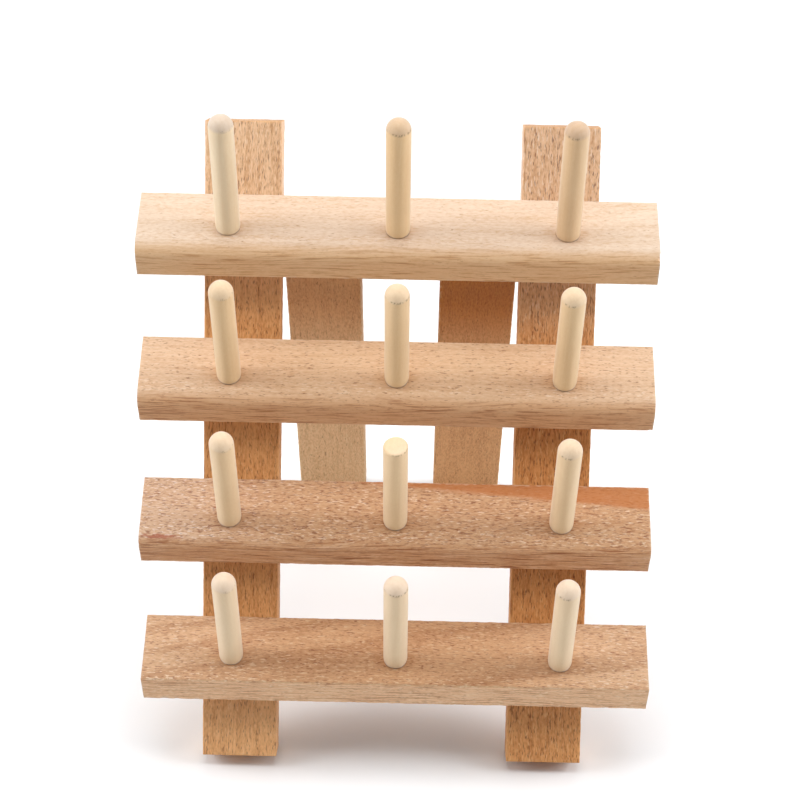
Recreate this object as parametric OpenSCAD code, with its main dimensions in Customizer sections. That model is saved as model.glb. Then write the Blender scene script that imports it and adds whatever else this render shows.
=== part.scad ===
// Folding thread rack: four tilted rails of spool pegs on two uprights, with
// two struts that fold in between the uprights on small butt hinges.
// Millimetres. X runs to the right, Y away from the pegs, Z up. The origin is
// on the table, in the middle of the standing rack's footprint.

/* [Uprights] */
// Length of each upright
upright_l = 256; // [240:1:320]
// Width of each upright, seen from the front
upright_w = 30; // [24:0.5:40]
// Thickness of each upright, front to back
upright_t = 15; // [12:0.5:20]
// Clear gap between the two uprights
upright_gap = 93; // [88:0.5:110]
// Chamfer that eases the long edges of uprights and struts
board_ease = 0.5; // [0.2:0.1:1.5]

/* [Rails] */
// Length of each rail
rail_l = 200; // [180:1:260]
// Depth of a rail's top face, from its back edge to its front
rail_d = 30; // [28:0.5:40]
// Thickness of the rail stock
rail_t = 15; // [14:0.5:18]
// Height of the bottom rail's back edge, along the uprights
rail_first = 58.5; // [50:0.5:70]
// Distance from one rail's back edge to the next
rail_pitch = 56.4; // [52:0.2:60]
// Tilt of each rail's top face out of square with the uprights, top rail first
rail_tilt = [40, 45, 45.5, 43]; // [35:0.5:47]
// How far each rail sits to the right of the middle, top rail first
rail_shift = [-1.1, -0.5, 0, 1.1]; // [-2:0.1:2]
// Radius on each rail's front top edge, top rail first
rail_round = [6, 6, 4.5, 1.2]; // [1:0.1:7]
// Chamfer that eases the other front edge of a rail
rail_ease = 0.6; // [0.2:0.1:1.5]

/* [Pegs] */
// Diameter of a peg where the spool turns
peg_d = 9.5; // [6:0.1:11]
// Height of a peg above its rail, dome included
peg_show = 57; // [45:1:70]
// Distance between neighbouring pegs on a rail
peg_space = 65; // [60:0.5:70]
// Distance from a rail's back edge to its pegs' centre line
peg_back = 18; // [17:0.5:22]
// How much thinner the glued end of a peg is than the rest of it
peg_seat_step = 0.5; // [0.4:0.1:1]
// Length of the glued end of a peg
peg_seat_l = 10; // [6:0.5:11]
// Radial clearance for glue between a peg's end and its hole
peg_glue_gap = 0.05; // [0.02:0.01:0.1]
// Free depth left under a peg in its hole
peg_hole_spare = 1; // [0.5:0.1:2]

/* [Struts] */
// Width of each strut, seen from the front
strut_w = 30; // [24:0.5:32]
// Thickness of each strut
strut_t = 15; // [12:0.5:15]
// Length of each strut's front face line, from the hinge pin to the foot
strut_l = 206; // [180:1:210]
// Gap between a strut's side and the upright beside it
strut_side_gap = 0.8; // [0.5:0.1:2]
// How far a folded strut's face sits behind the uprights' front faces
strut_inset = 0.5; // [0.3:0.05:0.6]
// Angle between an open strut and the uprights
open_angle = 50; // [45:1:55]

/* [Hinges] */
// Length of a hinge along its pin
hinge_l = 25; // [18:1:26]
// Width of a leaf, from the pin's centre to its free edge
leaf_w = 13; // [11:0.5:15]
// Thickness of a leaf
leaf_t = 1; // [0.8:0.1:1.2]
// Gap between the two closed leaves
leaf_gap = 0.3; // [0.2:0.05:0.5]
// Corner radius of a leaf
leaf_corner = 1.5; // [0.5:0.1:2]
// Diameter of a hinge knuckle
knuckle_d = 4; // [3.4:0.1:4.4]
// Gap between the ends of neighbouring knuckles
knuckle_gap = 0.15; // [0.1:0.05:0.4]
// Clearance between a knuckle and the wood or leaf beside it
knuckle_clear = 0.25; // [0.2:0.05:0.5]
// Diameter of a hinge pin
pin_d = 2; // [1.6:0.1:2.4]
// Radial running clearance between the pin and the moving knuckles
pin_clear = 0.05; // [0.02:0.01:0.09]
// Diameter of the heads at the pin's ends
pin_head_d = 2.8; // [2.6:0.1:3.2]
// Height of the heads at the pin's ends
pin_head_h = 0.6; // [0.3:0.1:0.9]

/* [Leaf screws] */
// Shank diameter of the leaf screws
leaf_screw_d = 2.2; // [1.8:0.1:2.6]
// Head diameter of the leaf screws
leaf_screw_head_d = 4.2; // [3.6:0.1:4.2]
// Length of a leaf screw
leaf_screw_l = 8; // [6:0.5:9]
// Distance from the pin's centre to the leaf screws
leaf_screw_up = 7.8; // [7:0.1:9]
// Distance between the two screws of a leaf
leaf_screw_apart = 14; // [10:0.5:16]

/* [Rail screws] */
// Shank diameter of the rail screws
rail_screw_d = 3.5; // [3:0.1:4.5]
// Head diameter of the rail screws
rail_screw_head_d = 7; // [6:0.1:8]
// Length of a rail screw
rail_screw_l = 25; // [22:0.5:26]
// Height of a rail screw above the bottom of the rail's back face
rail_screw_up = 6; // [5:0.5:8]
// How far the rail screws sit inward of the uprights' centre lines
rail_screw_in = 8; // [7:0.5:9]

/* [Hidden] */

$fn = 64;
eps = 0.01;
LEFT = -1;
RIGHT = 1;
TOP = 0;
RAILS = [0:3];
knuckles = 5;
tip_share = 0.25;
cut_over = 1;

upright_x = (upright_gap + upright_w) / 2;
strut_x = upright_gap / 2 - strut_side_gap - strut_w / 2;

// Back edge of rail i along the uprights, and the height of its bevelled back
function rail_z(i) = rail_first + (3 - i) * rail_pitch;
function rail_back_h(i) = rail_t / cos(rail_tilt[i]);
function rail_bottom_z(i) = rail_z(i) - rail_back_h(i);
function rail_screw_z(i) = rail_bottom_z(i) + rail_screw_up;

// The pin lies half a closed hinge behind the top rail, and low enough for
// its knuckles to clear the rail's underside
pin_y = leaf_t + leaf_gap / 2;
knuckle_r = knuckle_d / 2;
top_tilt = rail_tilt[TOP];
pin_drop = (knuckle_r + knuckle_clear - pin_y * sin(top_tilt)) / cos(top_tilt);
pin_z = rail_bottom_z(TOP) - pin_drop;
pin_set = pin_y - strut_inset;

// Foot of an open strut, in the uprights' frame: its front and back corners
foot_y = pin_y + strut_l * sin(open_angle) - pin_set * cos(open_angle);
foot_z = pin_z - strut_l * cos(open_angle) - pin_set * sin(open_angle);
foot_back_y = foot_y + strut_t * cos(open_angle);
foot_back_z = foot_z + strut_t * sin(open_angle);

// The uprights lean back until their back corners and the feet touch the table
lean = atan2(foot_z, foot_y - upright_t);
lift = upright_t * sin(lean);

// Front to back distance on the table of a point in the uprights' frame
function reach(y, z) = y * cos(lean) + z * sin(lean);

// Foremost points of rail i: the dome of its pegs and its rounded front edge
dome_r = peg_d / 2;
function on_rail_y(i, y, z) = y * cos(rail_tilt[i]) - z * sin(rail_tilt[i]);
function on_rail_z(i, y, z) = rail_z(i) + y * sin(rail_tilt[i]) + z * cos(rail_tilt[i]);
function rail_reach(i, y, z) = reach(on_rail_y(i, y, z), on_rail_z(i, y, z));
function dome_reach(i) = rail_reach(i, -peg_back, peg_show - dome_r) - dome_r;
function edge_reach(i) = rail_reach(i, rail_round[i] - rail_d, -rail_round[i]) - rail_round[i];

front_reach = min([for (i = RAILS) min(dome_reach(i), edge_reach(i))]);
back_reach = reach(foot_back_y, foot_back_z);
middle_y = (front_reach + back_reach) / 2;
middle_x = (max(rail_shift) + min(rail_shift)) / 2;

// Places children that are drawn in the uprights' frame: X to the right, Y
// back from the uprights' front faces, Z up along them from their lower ends
module on_uprights() {
    translate([-middle_x, -middle_y, lift])
        rotate([-lean, 0, 0])
            children();
}

// Places children in the frame of rail i: Z square out of its top face, Y
// back along that face from the rail's back edge
module on_rail(i) {
    on_uprights()
        translate([rail_shift[i], 0, rail_z(i)])
            rotate([rail_tilt[i], 0, 0])
                children();
}

// Places children at a hinge pin, in the frame of the uprights
module at_pin(side) {
    on_uprights()
        translate([side * strut_x, pin_y, pin_z])
            children();
}

// Places children in the frame of an open strut, with the pin as its origin
module on_strut(side) {
    at_pin(side)
        rotate([open_angle, 0, 0])
            children();
}

// Draws a flat outline, given as Y and Z, along X
module along_x(length) {
    rotate([90, 0, 90])
        linear_extrude(height = length, center = true)
            children();
}

// A board that stands on z = 0 with its front face at y = 0 and eased edges
module board(width, thickness, length) {
    half = width / 2;
    e = board_ease;
    linear_extrude(height = length)
        polygon([
            [e - half, 0], [half - e, 0], [half, e], [half, thickness - e],
            [half - e, thickness], [e - half, thickness],
            [-half, thickness - e], [-half, e]
        ]);
}

// A countersunk wood screw: head flush with z = 0, point towards -Z. As a
// cutter it carries on above its head by over
module wood_screw(length, shank_d, head_d, over = 0) {
    head_h = (head_d - shank_d) / 2;
    tip_h = tip_share * length;
    top = over > 0 ? [[head_d / 2, 0], [head_d / 2, over], [0, over]]
                   : [[head_d / 2, 0], [0, 0]];
    rotate_extrude()
        polygon(concat([
            [0, -length], [shank_d / 8, -length], [shank_d / 2, tip_h - length],
            [shank_d / 2, -head_h]
        ], top));
}

// The row of rail screws on one side, heads in the uprights' back faces
module rail_screw_row(side, over = 0) {
    x = side * (upright_x - rail_screw_in);
    on_uprights()
        for (i = RAILS)
            translate([x, upright_t, rail_screw_z(i)])
                rotate([-90, 0, 0])
                    wood_screw(rail_screw_l, rail_screw_d, rail_screw_head_d, over);
}

// The two screws of a leaf. Facing 1 points them back into the strut, and
// facing -1 forward into the top rail
module leaf_screw_pair(side, facing, over = 0) {
    at_pin(side)
        for (x = [-leaf_screw_apart / 2, leaf_screw_apart / 2])
            translate([x, facing * leaf_gap / 2, leaf_screw_up])
                rotate([facing * 90, 0, 0])
                    wood_screw(leaf_screw_l, leaf_screw_d, leaf_screw_head_d, over);
}

module upright(side) {
    color("#C08A5C")
        difference() {
            on_uprights()
                translate([side * upright_x, 0, 0])
                    board(upright_w, upright_t, upright_l);
            rail_screw_row(side, cut_over);
        }
}

// End view of rail i: flat top, rounded front edge, back bevelled to the tilt
module rail_outline(i) {
    r = rail_round[i];
    e = rail_ease;
    bevel = rail_t * tan(rail_tilt[i]);
    difference() {
        polygon([
            [0, 0], [-rail_d, 0], [-rail_d, e - rail_t],
            [e - rail_d, -rail_t], [-bevel, -rail_t]
        ]);
        difference() {
            translate([-rail_d - eps, -r])
                square([r + eps, r + eps]);
            translate([r - rail_d, -r])
                circle(r);
        }
    }
}

module peg_holes() {
    depth = peg_seat_l + peg_hole_spare;
    for (x = [-peg_space, 0, peg_space])
        translate([x, -peg_back, -depth])
            cylinder(h = depth + eps, r = (peg_d - peg_seat_step) / 2 + peg_glue_gap);
}

module rail(i) {
    color(i == TOP ? "#E8CBA6" : "#D2A278")
        difference() {
            on_rail(i)
                difference() {
                    along_x(rail_l)
                        rail_outline(i);
                    peg_holes();
                }
            rail_screw_row(LEFT, cut_over);
            rail_screw_row(RIGHT, cut_over);
            if (i == TOP) {
                leaf_screw_pair(LEFT, -1, cut_over);
                leaf_screw_pair(RIGHT, -1, cut_over);
            }
        }
}

// Half of a peg's outline: glued end, straight shaft and dome
module peg_outline() {
    translate([0, -peg_seat_l])
        square([(peg_d - peg_seat_step) / 2, peg_seat_l + dome_r]);
    square([dome_r, peg_show - dome_r]);
    intersection() {
        translate([0, peg_show - dome_r])
            circle(dome_r);
        square([dome_r, peg_show]);
    }
}

// A peg of rail i, at place -1, 0 or 1
module peg(i, place) {
    color("#EFDDB8")
        on_rail(i)
            translate([place * peg_space, -peg_back, 0])
                rotate_extrude()
                    peg_outline();
}

// A strut: its top end is bevelled so that it lies flat against the closed
// hinge when the strut is open, and is grooved for the knuckles
module strut(side) {
    top = strut_t / tan(open_angle);
    relief_r = knuckle_r + knuckle_clear;
    color("#AE7B4E")
        difference() {
            on_strut(side)
                translate([0, -pin_set, -strut_l])
                    board(strut_w, strut_t, strut_l + top);
            at_pin(side)
                translate([-strut_w, -2 * strut_t + pin_y, -strut_t])
                    cube([2 * strut_w, 2 * strut_t, 3 * strut_t]);
            at_pin(side)
                rotate([0, 90, 0])
                    cylinder(h = 2 * strut_w, r = relief_r, center = true);
            leaf_screw_pair(side, 1, cut_over);
        }
}

// Knuckle k, counted from the hinge's left end, as a solid cylinder that is
// larger than the knuckle by the given amounts
module knuckle(k, r_extra, end_extra) {
    pitch = hinge_l / knuckles;
    length = pitch - knuckle_gap + 2 * end_extra;
    translate([(k + 0.5) * pitch - hinge_l / 2, 0, 0])
        rotate([0, 90, 0])
            cylinder(h = length, r = knuckle_r + r_extra, center = true);
}

// One leaf with its share of the knuckles. Facing -1 is the fixed leaf, on
// the top rail, and 1 the moving leaf, on the strut
module leaf(side, facing) {
    fixed = facing < 0;
    own = fixed ? [0, 2, 4] : [1, 3];
    other = fixed ? [1, 3] : [0, 2, 4];
    bore_r = pin_d / 2 + (fixed ? 0 : pin_clear);
    plate_y = fixed ? -pin_y : leaf_gap / 2;
    half = (hinge_l - knuckle_gap) / 2;
    c = leaf_corner;
    difference() {
        at_pin(side)
            difference() {
                union() {
                    translate([-half, plate_y, 0])
                        cube([2 * half, leaf_t, leaf_w - c]);
                    translate([c - half, plate_y, 0])
                        cube([2 * half - 2 * c, leaf_t, leaf_w]);
                    for (x = [c - half, half - c])
                        translate([x, plate_y, leaf_w - c])
                            rotate([-90, 0, 0])
                                cylinder(h = leaf_t, r = c);
                    for (k = own)
                        knuckle(k, 0, 0);
                }
                for (k = other)
                    knuckle(k, knuckle_clear, knuckle_gap);
                rotate([0, 90, 0])
                    cylinder(h = 2 * hinge_l, r = bore_r, center = true);
            }
        leaf_screw_pair(side, facing, cut_over);
    }
}

module fixed_leaf(side) {
    color("#B9BBBD")
        leaf(side, -1);
}

module moving_leaf(side) {
    color("#AEB0B2")
        leaf(side, 1);
}

// The pin, with a low head at each end that keeps it in its knuckles
module hinge_pin(side) {
    half = (hinge_l - knuckle_gap) / 2;
    end = half + pin_head_h;
    r = pin_d / 2;
    head_r = pin_head_d / 2;
    color("#9FA2A5")
        at_pin(side)
            rotate([0, 90, 0])
                rotate_extrude()
                    polygon([
                        [0, -end], [r, -end], [head_r, -half], [r, -half],
                        [r, half], [head_r, half], [r, end], [0, end]
                    ]);
}

module fixed_leaf_screws(side) {
    color("#8E9194")
        leaf_screw_pair(side, -1);
}

module moving_leaf_screws(side) {
    color("#8E9194")
        leaf_screw_pair(side, 1);
}

module rail_screws(side) {
    color("#8E9194")
        rail_screw_row(side);
}

upright(LEFT);  // left_upright
upright(RIGHT);  // right_upright
rail(0);  // top_rail
rail(1);  // upper_rail
rail(2);  // lower_rail
rail(3);  // bottom_rail
peg(0, -1);  // top_left_peg
peg(0, 0);  // top_middle_peg
peg(0, 1);  // top_right_peg
peg(1, -1);  // upper_left_peg
peg(1, 0);  // upper_middle_peg
peg(1, 1);  // upper_right_peg
peg(2, -1);  // lower_left_peg
peg(2, 0);  // lower_middle_peg
peg(2, 1);  // lower_right_peg
peg(3, -1);  // bottom_left_peg
peg(3, 0);  // bottom_middle_peg
peg(3, 1);  // bottom_right_peg
strut(LEFT);  // left_strut
strut(RIGHT);  // right_strut
fixed_leaf(LEFT);  // left_fixed_leaf
fixed_leaf(RIGHT);  // right_fixed_leaf
moving_leaf(LEFT);  // left_moving_leaf
moving_leaf(RIGHT);  // right_moving_leaf
hinge_pin(LEFT);  // left_hinge_pin
hinge_pin(RIGHT);  // right_hinge_pin
fixed_leaf_screws(LEFT);  // left_fixed_leaf_screws
fixed_leaf_screws(RIGHT);  // right_fixed_leaf_screws
moving_leaf_screws(LEFT);  // left_moving_leaf_screws
moving_leaf_screws(RIGHT);  // right_moving_leaf_screws
rail_screws(LEFT);  // left_rail_screws
rail_screws(RIGHT);  // right_rail_screws
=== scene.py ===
"""Folding thread rack in beech: two uprights, four tilted rails of pegs and two hinged struts.

Pieces are modelled in millimetres, each in the frame of the board that carries it, and
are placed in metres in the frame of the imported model. X runs to the right, Y away from
the pegs and Z up.
"""
import logging
import math
from abc import ABC, abstractmethod
from dataclasses import dataclass
from enum import Enum
from typing import Callable, ClassVar

import bmesh
import bpy
from mathutils import Matrix, Vector, noise


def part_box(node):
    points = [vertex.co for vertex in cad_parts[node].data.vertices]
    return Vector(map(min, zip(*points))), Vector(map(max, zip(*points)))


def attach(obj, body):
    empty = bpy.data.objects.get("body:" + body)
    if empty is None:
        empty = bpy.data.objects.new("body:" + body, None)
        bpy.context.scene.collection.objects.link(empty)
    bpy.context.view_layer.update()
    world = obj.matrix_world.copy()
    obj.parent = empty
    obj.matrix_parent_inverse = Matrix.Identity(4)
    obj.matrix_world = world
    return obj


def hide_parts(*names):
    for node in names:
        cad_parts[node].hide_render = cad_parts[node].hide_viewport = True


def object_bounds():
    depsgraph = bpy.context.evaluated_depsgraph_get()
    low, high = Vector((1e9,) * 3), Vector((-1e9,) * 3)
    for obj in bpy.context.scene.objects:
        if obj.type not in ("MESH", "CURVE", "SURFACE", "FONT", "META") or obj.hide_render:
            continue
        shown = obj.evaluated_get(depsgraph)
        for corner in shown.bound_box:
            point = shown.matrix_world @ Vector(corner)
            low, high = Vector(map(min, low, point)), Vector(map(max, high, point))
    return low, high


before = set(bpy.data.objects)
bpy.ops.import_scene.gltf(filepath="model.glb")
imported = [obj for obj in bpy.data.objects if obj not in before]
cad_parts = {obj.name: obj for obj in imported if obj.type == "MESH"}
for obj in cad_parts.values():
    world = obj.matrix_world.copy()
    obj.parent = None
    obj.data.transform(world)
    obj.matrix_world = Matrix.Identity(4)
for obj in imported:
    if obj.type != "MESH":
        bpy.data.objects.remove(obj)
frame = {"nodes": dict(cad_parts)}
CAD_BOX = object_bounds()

log = logging.getLogger("thread_rack")

MM = 0.001
TO_METRES = Matrix.Scale(MM, 4)
ALONG_X = Matrix.Rotation(math.pi / 2, 4, "Y")
RACK_BODY = "rack"

Colour = tuple[float, float, float, float]
Tint = tuple[float, float, float]
Socket = bpy.types.NodeSocket
Feed = Socket | float | tuple[float, ...]
Test = Callable[[Vector], bool]

ORIGIN = (0.0, 0.0, 0.0)
PLAIN: Tint = (1.0, 1.0, 1.0)

# The shine of raw wood, and the angle in degrees past which an edge of a fitting looks sharp
WOOD_SPECULAR = 0.35
FITTING_SHARP = 25.0


class Side(Enum):
    """Which side of the rack a piece is on, seen from the front."""

    LEFT = -1
    RIGHT = 1


class Row(Enum):
    """The four rails, from the top down."""

    TOP = 0
    UPPER = 1
    LOWER = 2
    BOTTOM = 3


class Place(Enum):
    """The three pegs of a rail."""

    LEFT = -1
    MIDDLE = 0
    RIGHT = 1


class Leaf(Enum):
    """The two leaves of a hinge, and which way along Y each is screwed while it is closed."""

    FIXED = -1
    MOVING = 1


class Slot(Enum):
    """The names of the material slots that the pieces carry; nothing in this script applies them."""

    UPRIGHT = "upright_beech"
    RAIL = "rail_beech"
    PALE_RAIL = "pale_rail_beech"
    PEG = "peg_wood"
    STRUT = "strut_beech"
    HINGE = "hinge_steel"
    PIN = "pin_steel"
    SCREW = "screw_steel"


def word(choice: Enum) -> str:
    """The choice's name as it is used in the names of nodes and pieces."""
    return choice.name.lower()


def strut_body(side: Side) -> str:
    """Returns the name of the body that one side's strut rides on."""
    return f"{word(side)}_strut"


def leaf_body(side: Side, leaf: Leaf) -> str:
    """Returns the name of the body that a hinge leaf rides on."""
    return RACK_BODY if leaf is Leaf.FIXED else strut_body(side)


# Sizes and places that the pieces share


@dataclass(frozen=True)
class Layout:
    """Driving sizes of the rack in millimetres, and the frames that they lead to."""

    upright_l: float = 256.0
    upright_w: float = 30.0
    upright_t: float = 15.0
    upright_gap: float = 93.0
    rail_l: float = 200.0
    rail_d: float = 30.0
    rail_t: float = 15.0
    rail_first: float = 58.5
    rail_pitch: float = 56.4
    rail_tilt: tuple[float, ...] = (40.0, 45.0, 45.5, 43.0)
    rail_shift: tuple[float, ...] = (-1.1, -0.5, 0.0, 1.1)
    rail_round: tuple[float, ...] = (6.0, 6.0, 4.5, 1.2)
    peg_d: float = 9.5
    peg_show: float = 57.0
    peg_space: float = 65.0
    peg_back: float = 18.0
    peg_seat_d: float = 9.0
    peg_seat_l: float = 10.0
    strut_w: float = 30.0
    strut_t: float = 15.0
    strut_l: float = 206.0
    strut_side_gap: float = 0.8
    strut_inset: float = 0.5
    open_angle: float = 50.0
    hinge_l: float = 25.0
    leaf_w: float = 13.0
    leaf_t: float = 1.0
    leaf_gap: float = 0.3
    knuckle_d: float = 4.0
    knuckle_gap: float = 0.15
    knuckle_clear: float = 0.25
    pin_d: float = 2.0
    rail_screw_up: float = 6.0
    rail_screw_in: float = 8.0
    leaf_screw_up: float = 7.8
    leaf_screw_apart: float = 14.0

    @property
    def upright_x(self) -> float:
        """Distance from the middle to an upright's centre line."""
        return (self.upright_gap + self.upright_w) / 2

    @property
    def peg_shoulder(self) -> float:
        """How far above its rail a peg's dome begins."""
        return self.peg_show - self.peg_d / 2

    @property
    def strut_x(self) -> float:
        """Distance from the middle to a strut's centre line."""
        return self.upright_gap / 2 - self.strut_side_gap - self.strut_w / 2

    @property
    def pin_y(self) -> float:
        """How far a hinge pin lies behind the uprights' front faces."""
        return self.leaf_t + self.leaf_gap / 2

    @property
    def pin_set(self) -> float:
        """How far a hinge pin lies behind its strut's front face."""
        return self.pin_y - self.strut_inset

    @property
    def pin_z(self) -> float:
        """Height of the hinge pins along the uprights."""
        tilt = math.radians(self.rail_tilt[Row.TOP.value])
        clear = self.knuckle_d / 2 + self.knuckle_clear - self.pin_y * math.sin(tilt)
        return self.rail_bottom(Row.TOP) - clear / math.cos(tilt)

    @property
    def foot(self) -> Vector:
        """Y and Z of the front corner of an open strut's foot, in the uprights' frame."""
        turn = Matrix.Rotation(math.radians(self.open_angle), 2)
        return Vector((self.pin_y, self.pin_z)) + turn @ Vector((-self.pin_set, -self.strut_l))

    @property
    def lean(self) -> float:
        """Angle in radians by which the uprights lean back."""
        return math.atan2(self.foot.y, self.foot.x - self.upright_t)

    def rail_z(self, row: Row) -> float:
        """Height of a rail's back edge along the uprights."""
        return self.rail_first + (Row.BOTTOM.value - row.value) * self.rail_pitch

    def rail_bottom(self, row: Row) -> float:
        """Height of the lower end of a rail's bevelled back along the uprights."""
        return self.rail_z(row) - self.rail_t / math.cos(math.radians(self.rail_tilt[row.value]))

    def peg_foot(self, place: Place) -> tuple[float, float, float]:
        """Where the middle of a peg meets its rail's top face, in the rail's frame."""
        return (place.value * self.peg_space, -self.peg_back, 0.0)

    def on_uprights(self) -> Matrix:
        """Returns the uprights' frame: Y back from their front faces and Z up along them."""
        low, high = CAD_BOX
        turn = Matrix.Rotation(math.radians(self.open_angle), 2)
        back = self.foot + turn @ Vector((self.strut_t, 0))
        reach = back.x * math.cos(self.lean) + back.y * math.sin(self.lean)
        middle_x = (max(self.rail_shift) + min(self.rail_shift)) / 2
        lift = self.upright_t * math.sin(self.lean)
        place = Matrix.Translation((-middle_x, high.y / MM - reach, low.z / MM + lift))
        return place @ Matrix.Rotation(-self.lean, 4, "X")

    def on_rail(self, row: Row) -> Matrix:
        """Returns a rail's frame: Y back along its top face and Z square out of it."""
        place = Matrix.Translation((self.rail_shift[row.value], 0, self.rail_z(row)))
        tilt = Matrix.Rotation(math.radians(self.rail_tilt[row.value]), 4, "X")
        return self.on_uprights() @ place @ tilt

    def at_pin(self, side: Side) -> Matrix:
        """Returns the uprights' frame moved to the hinge pin of one side."""
        place = (side.value * self.strut_x, self.pin_y, self.pin_z)
        return self.on_uprights() @ Matrix.Translation(place)

    def on_strut(self, side: Side) -> Matrix:
        """Returns the frame of an open strut, with its pin as the origin."""
        return self.at_pin(side) @ Matrix.Rotation(math.radians(self.open_angle), 4, "X")


LAYOUT = Layout()


# Shader nodes


def linear(code: str) -> Colour:
    """Turns a colour as it is seen, #RRGGBB, into the values that shaders take.

    Args:
        code: the colour.

    Returns:
        Linear red, green and blue, and an alpha of 1.
    """
    parts = [int(code[i:i + 2], 16) / 255 for i in (1, 3, 5)]
    curve = [c / 12.92 if c <= 0.04045 else ((c + 0.055) / 1.055) ** 2.4 for c in parts]
    return (*curve, 1.0)


class Wiring:
    """Adds nodes to one node tree. Each call gives back the socket of its result."""

    def __init__(self, tree: bpy.types.NodeTree) -> None:
        """Starts on the node tree of a material or a group."""
        self.tree = tree

    def feed(self, socket: Socket, source: Feed) -> None:
        """Links an input to another socket, or sets its value.

        Args:
            socket: the input.
            source: an output, a number, or a colour or vector.
        """
        if isinstance(source, bpy.types.NodeSocket):
            self.tree.links.new(source, socket)
        else:
            socket.default_value = source

    def node(
        self, kind: str, inputs: dict[str | int, Feed] | None = None, **settings: object
    ) -> bpy.types.Node:
        """Adds a node.

        Args:
            kind: the node's type, without ShaderNode in front.
            inputs: what goes into its sockets, by name or number.
            settings: the node's own properties.

        Returns:
            The new node.
        """
        made = self.tree.nodes.new("ShaderNode" + kind)
        for name, value in settings.items():
            setattr(made, name, value)
        for name, source in (inputs or {}).items():
            self.feed(made.inputs[name], source)
        return made

    def math(self, operation: str, first: Feed, second: Feed = 0.0, third: Feed = 0.0) -> Socket:
        """Returns what a Math node makes of up to three values."""
        return self.node("Math", {0: first, 1: second, 2: third}, operation=operation).outputs[0]

    def times(self, first: Feed, second: Feed) -> Socket:
        """Returns the product of two values."""
        return self.math("MULTIPLY", first, second)

    def plus(self, first: Feed, second: Feed) -> Socket:
        """Returns the sum of two values."""
        return self.math("ADD", first, second)

    def minus(self, first: Feed, second: Feed) -> Socket:
        """Returns the first value less the second."""
        return self.math("SUBTRACT", first, second)

    def times_plus(self, value: Feed, factor: Feed, base: Feed) -> Socket:
        """Returns a value times a factor, added to a base."""
        return self.math("MULTIPLY_ADD", value, factor, base)

    def swing(self, value: Feed) -> Socket:
        """Returns how far a noise lies above or below its middle."""
        return self.minus(value, 0.5)

    def vector(self, operation: str, first: Feed, second: Feed = ORIGIN, third: Feed = ORIGIN) -> Socket:
        """Returns what a Vector Math node makes of up to three vectors."""
        made = self.node("VectorMath", {0: first, 1: second, 2: third}, operation=operation)
        return made.outputs["Value" if operation == "LENGTH" else "Vector"]

    def step(self, value: Feed, low: Feed, high: Feed, start: Feed = 0.0, end: Feed = 1.0) -> Socket:
        """Returns a soft step from start to end as a value passes from low to high."""
        inputs = {"Value": value, "From Min": low, "From Max": high, "To Min": start, "To Max": end}
        return self.node("MapRange", inputs, interpolation_type="SMOOTHSTEP").outputs["Result"]

    def fade(self, value: Feed, low: Feed, high: Feed, start: Feed = 1.0) -> Socket:
        """Returns a soft step from start down to 0 as a value passes from low to high."""
        return self.step(value, low, high, start, 0.0)

    def band(self, value: Feed, low: Feed, full: Feed, fading: Feed, high: Feed) -> Socket:
        """Returns 1 between full and fading, with soft steps down to 0 at low and high."""
        return self.times(self.step(value, low, full), self.fade(value, fading, high))

    def noise(
        self, vector: Feed, detail: float, stretch: Feed | None = None, colour: bool = False
    ) -> Socket:
        """Returns a noise with about one feature for each unit of the vector.

        Args:
            vector: the point.
            detail: how many finer layers the noise has.
            stretch: what the vector is multiplied by first.
            colour: whether the result has three parts.

        Returns:
            The noise, from 0 to 1.
        """
        if stretch is not None:
            vector = self.vector("MULTIPLY", vector, stretch)
        made = self.node("TexNoise", {"Vector": vector, "Scale": 1.0, "Detail": detail})
        return made.outputs["Color" if colour else "Fac"]

    def cells(self, vector: Feed) -> tuple[Socket, Socket]:
        """Returns the distance to the nearest of some scattered points, and that point's lot."""
        made = self.node("TexVoronoi", {"Vector": vector, "Scale": 1.0})
        lot = self.node("SeparateColor", {0: made.outputs["Color"]}).outputs[0]
        return made.outputs["Distance"], lot

    def mix(self, factor: Feed, first: Feed, second: Feed, blend: str = "MIX") -> Socket:
        """Returns a colour that goes from first to second."""
        made = self.node("Mix", {0: factor, 6: first, 7: second}, data_type="RGBA", blend_type=blend)
        return made.outputs[2]

    def tinted(self, where: Feed, colour: Feed, tint: Tint) -> Socket:
        """Returns a colour that a tint multiplies where a mask says."""
        return self.mix(where, colour, (*tint, 1.0), "MULTIPLY")

    def split(self, vector: Feed) -> tuple[Socket, Socket, Socket]:
        """Returns the three parts of a vector."""
        return tuple(self.node("SeparateXYZ", {0: vector}).outputs)

    def join(self, x: Feed, y: Feed, z: Feed) -> Socket:
        """Returns a vector of three values."""
        return self.node("CombineXYZ", {0: x, 1: y, 2: z}).outputs[0]


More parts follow.
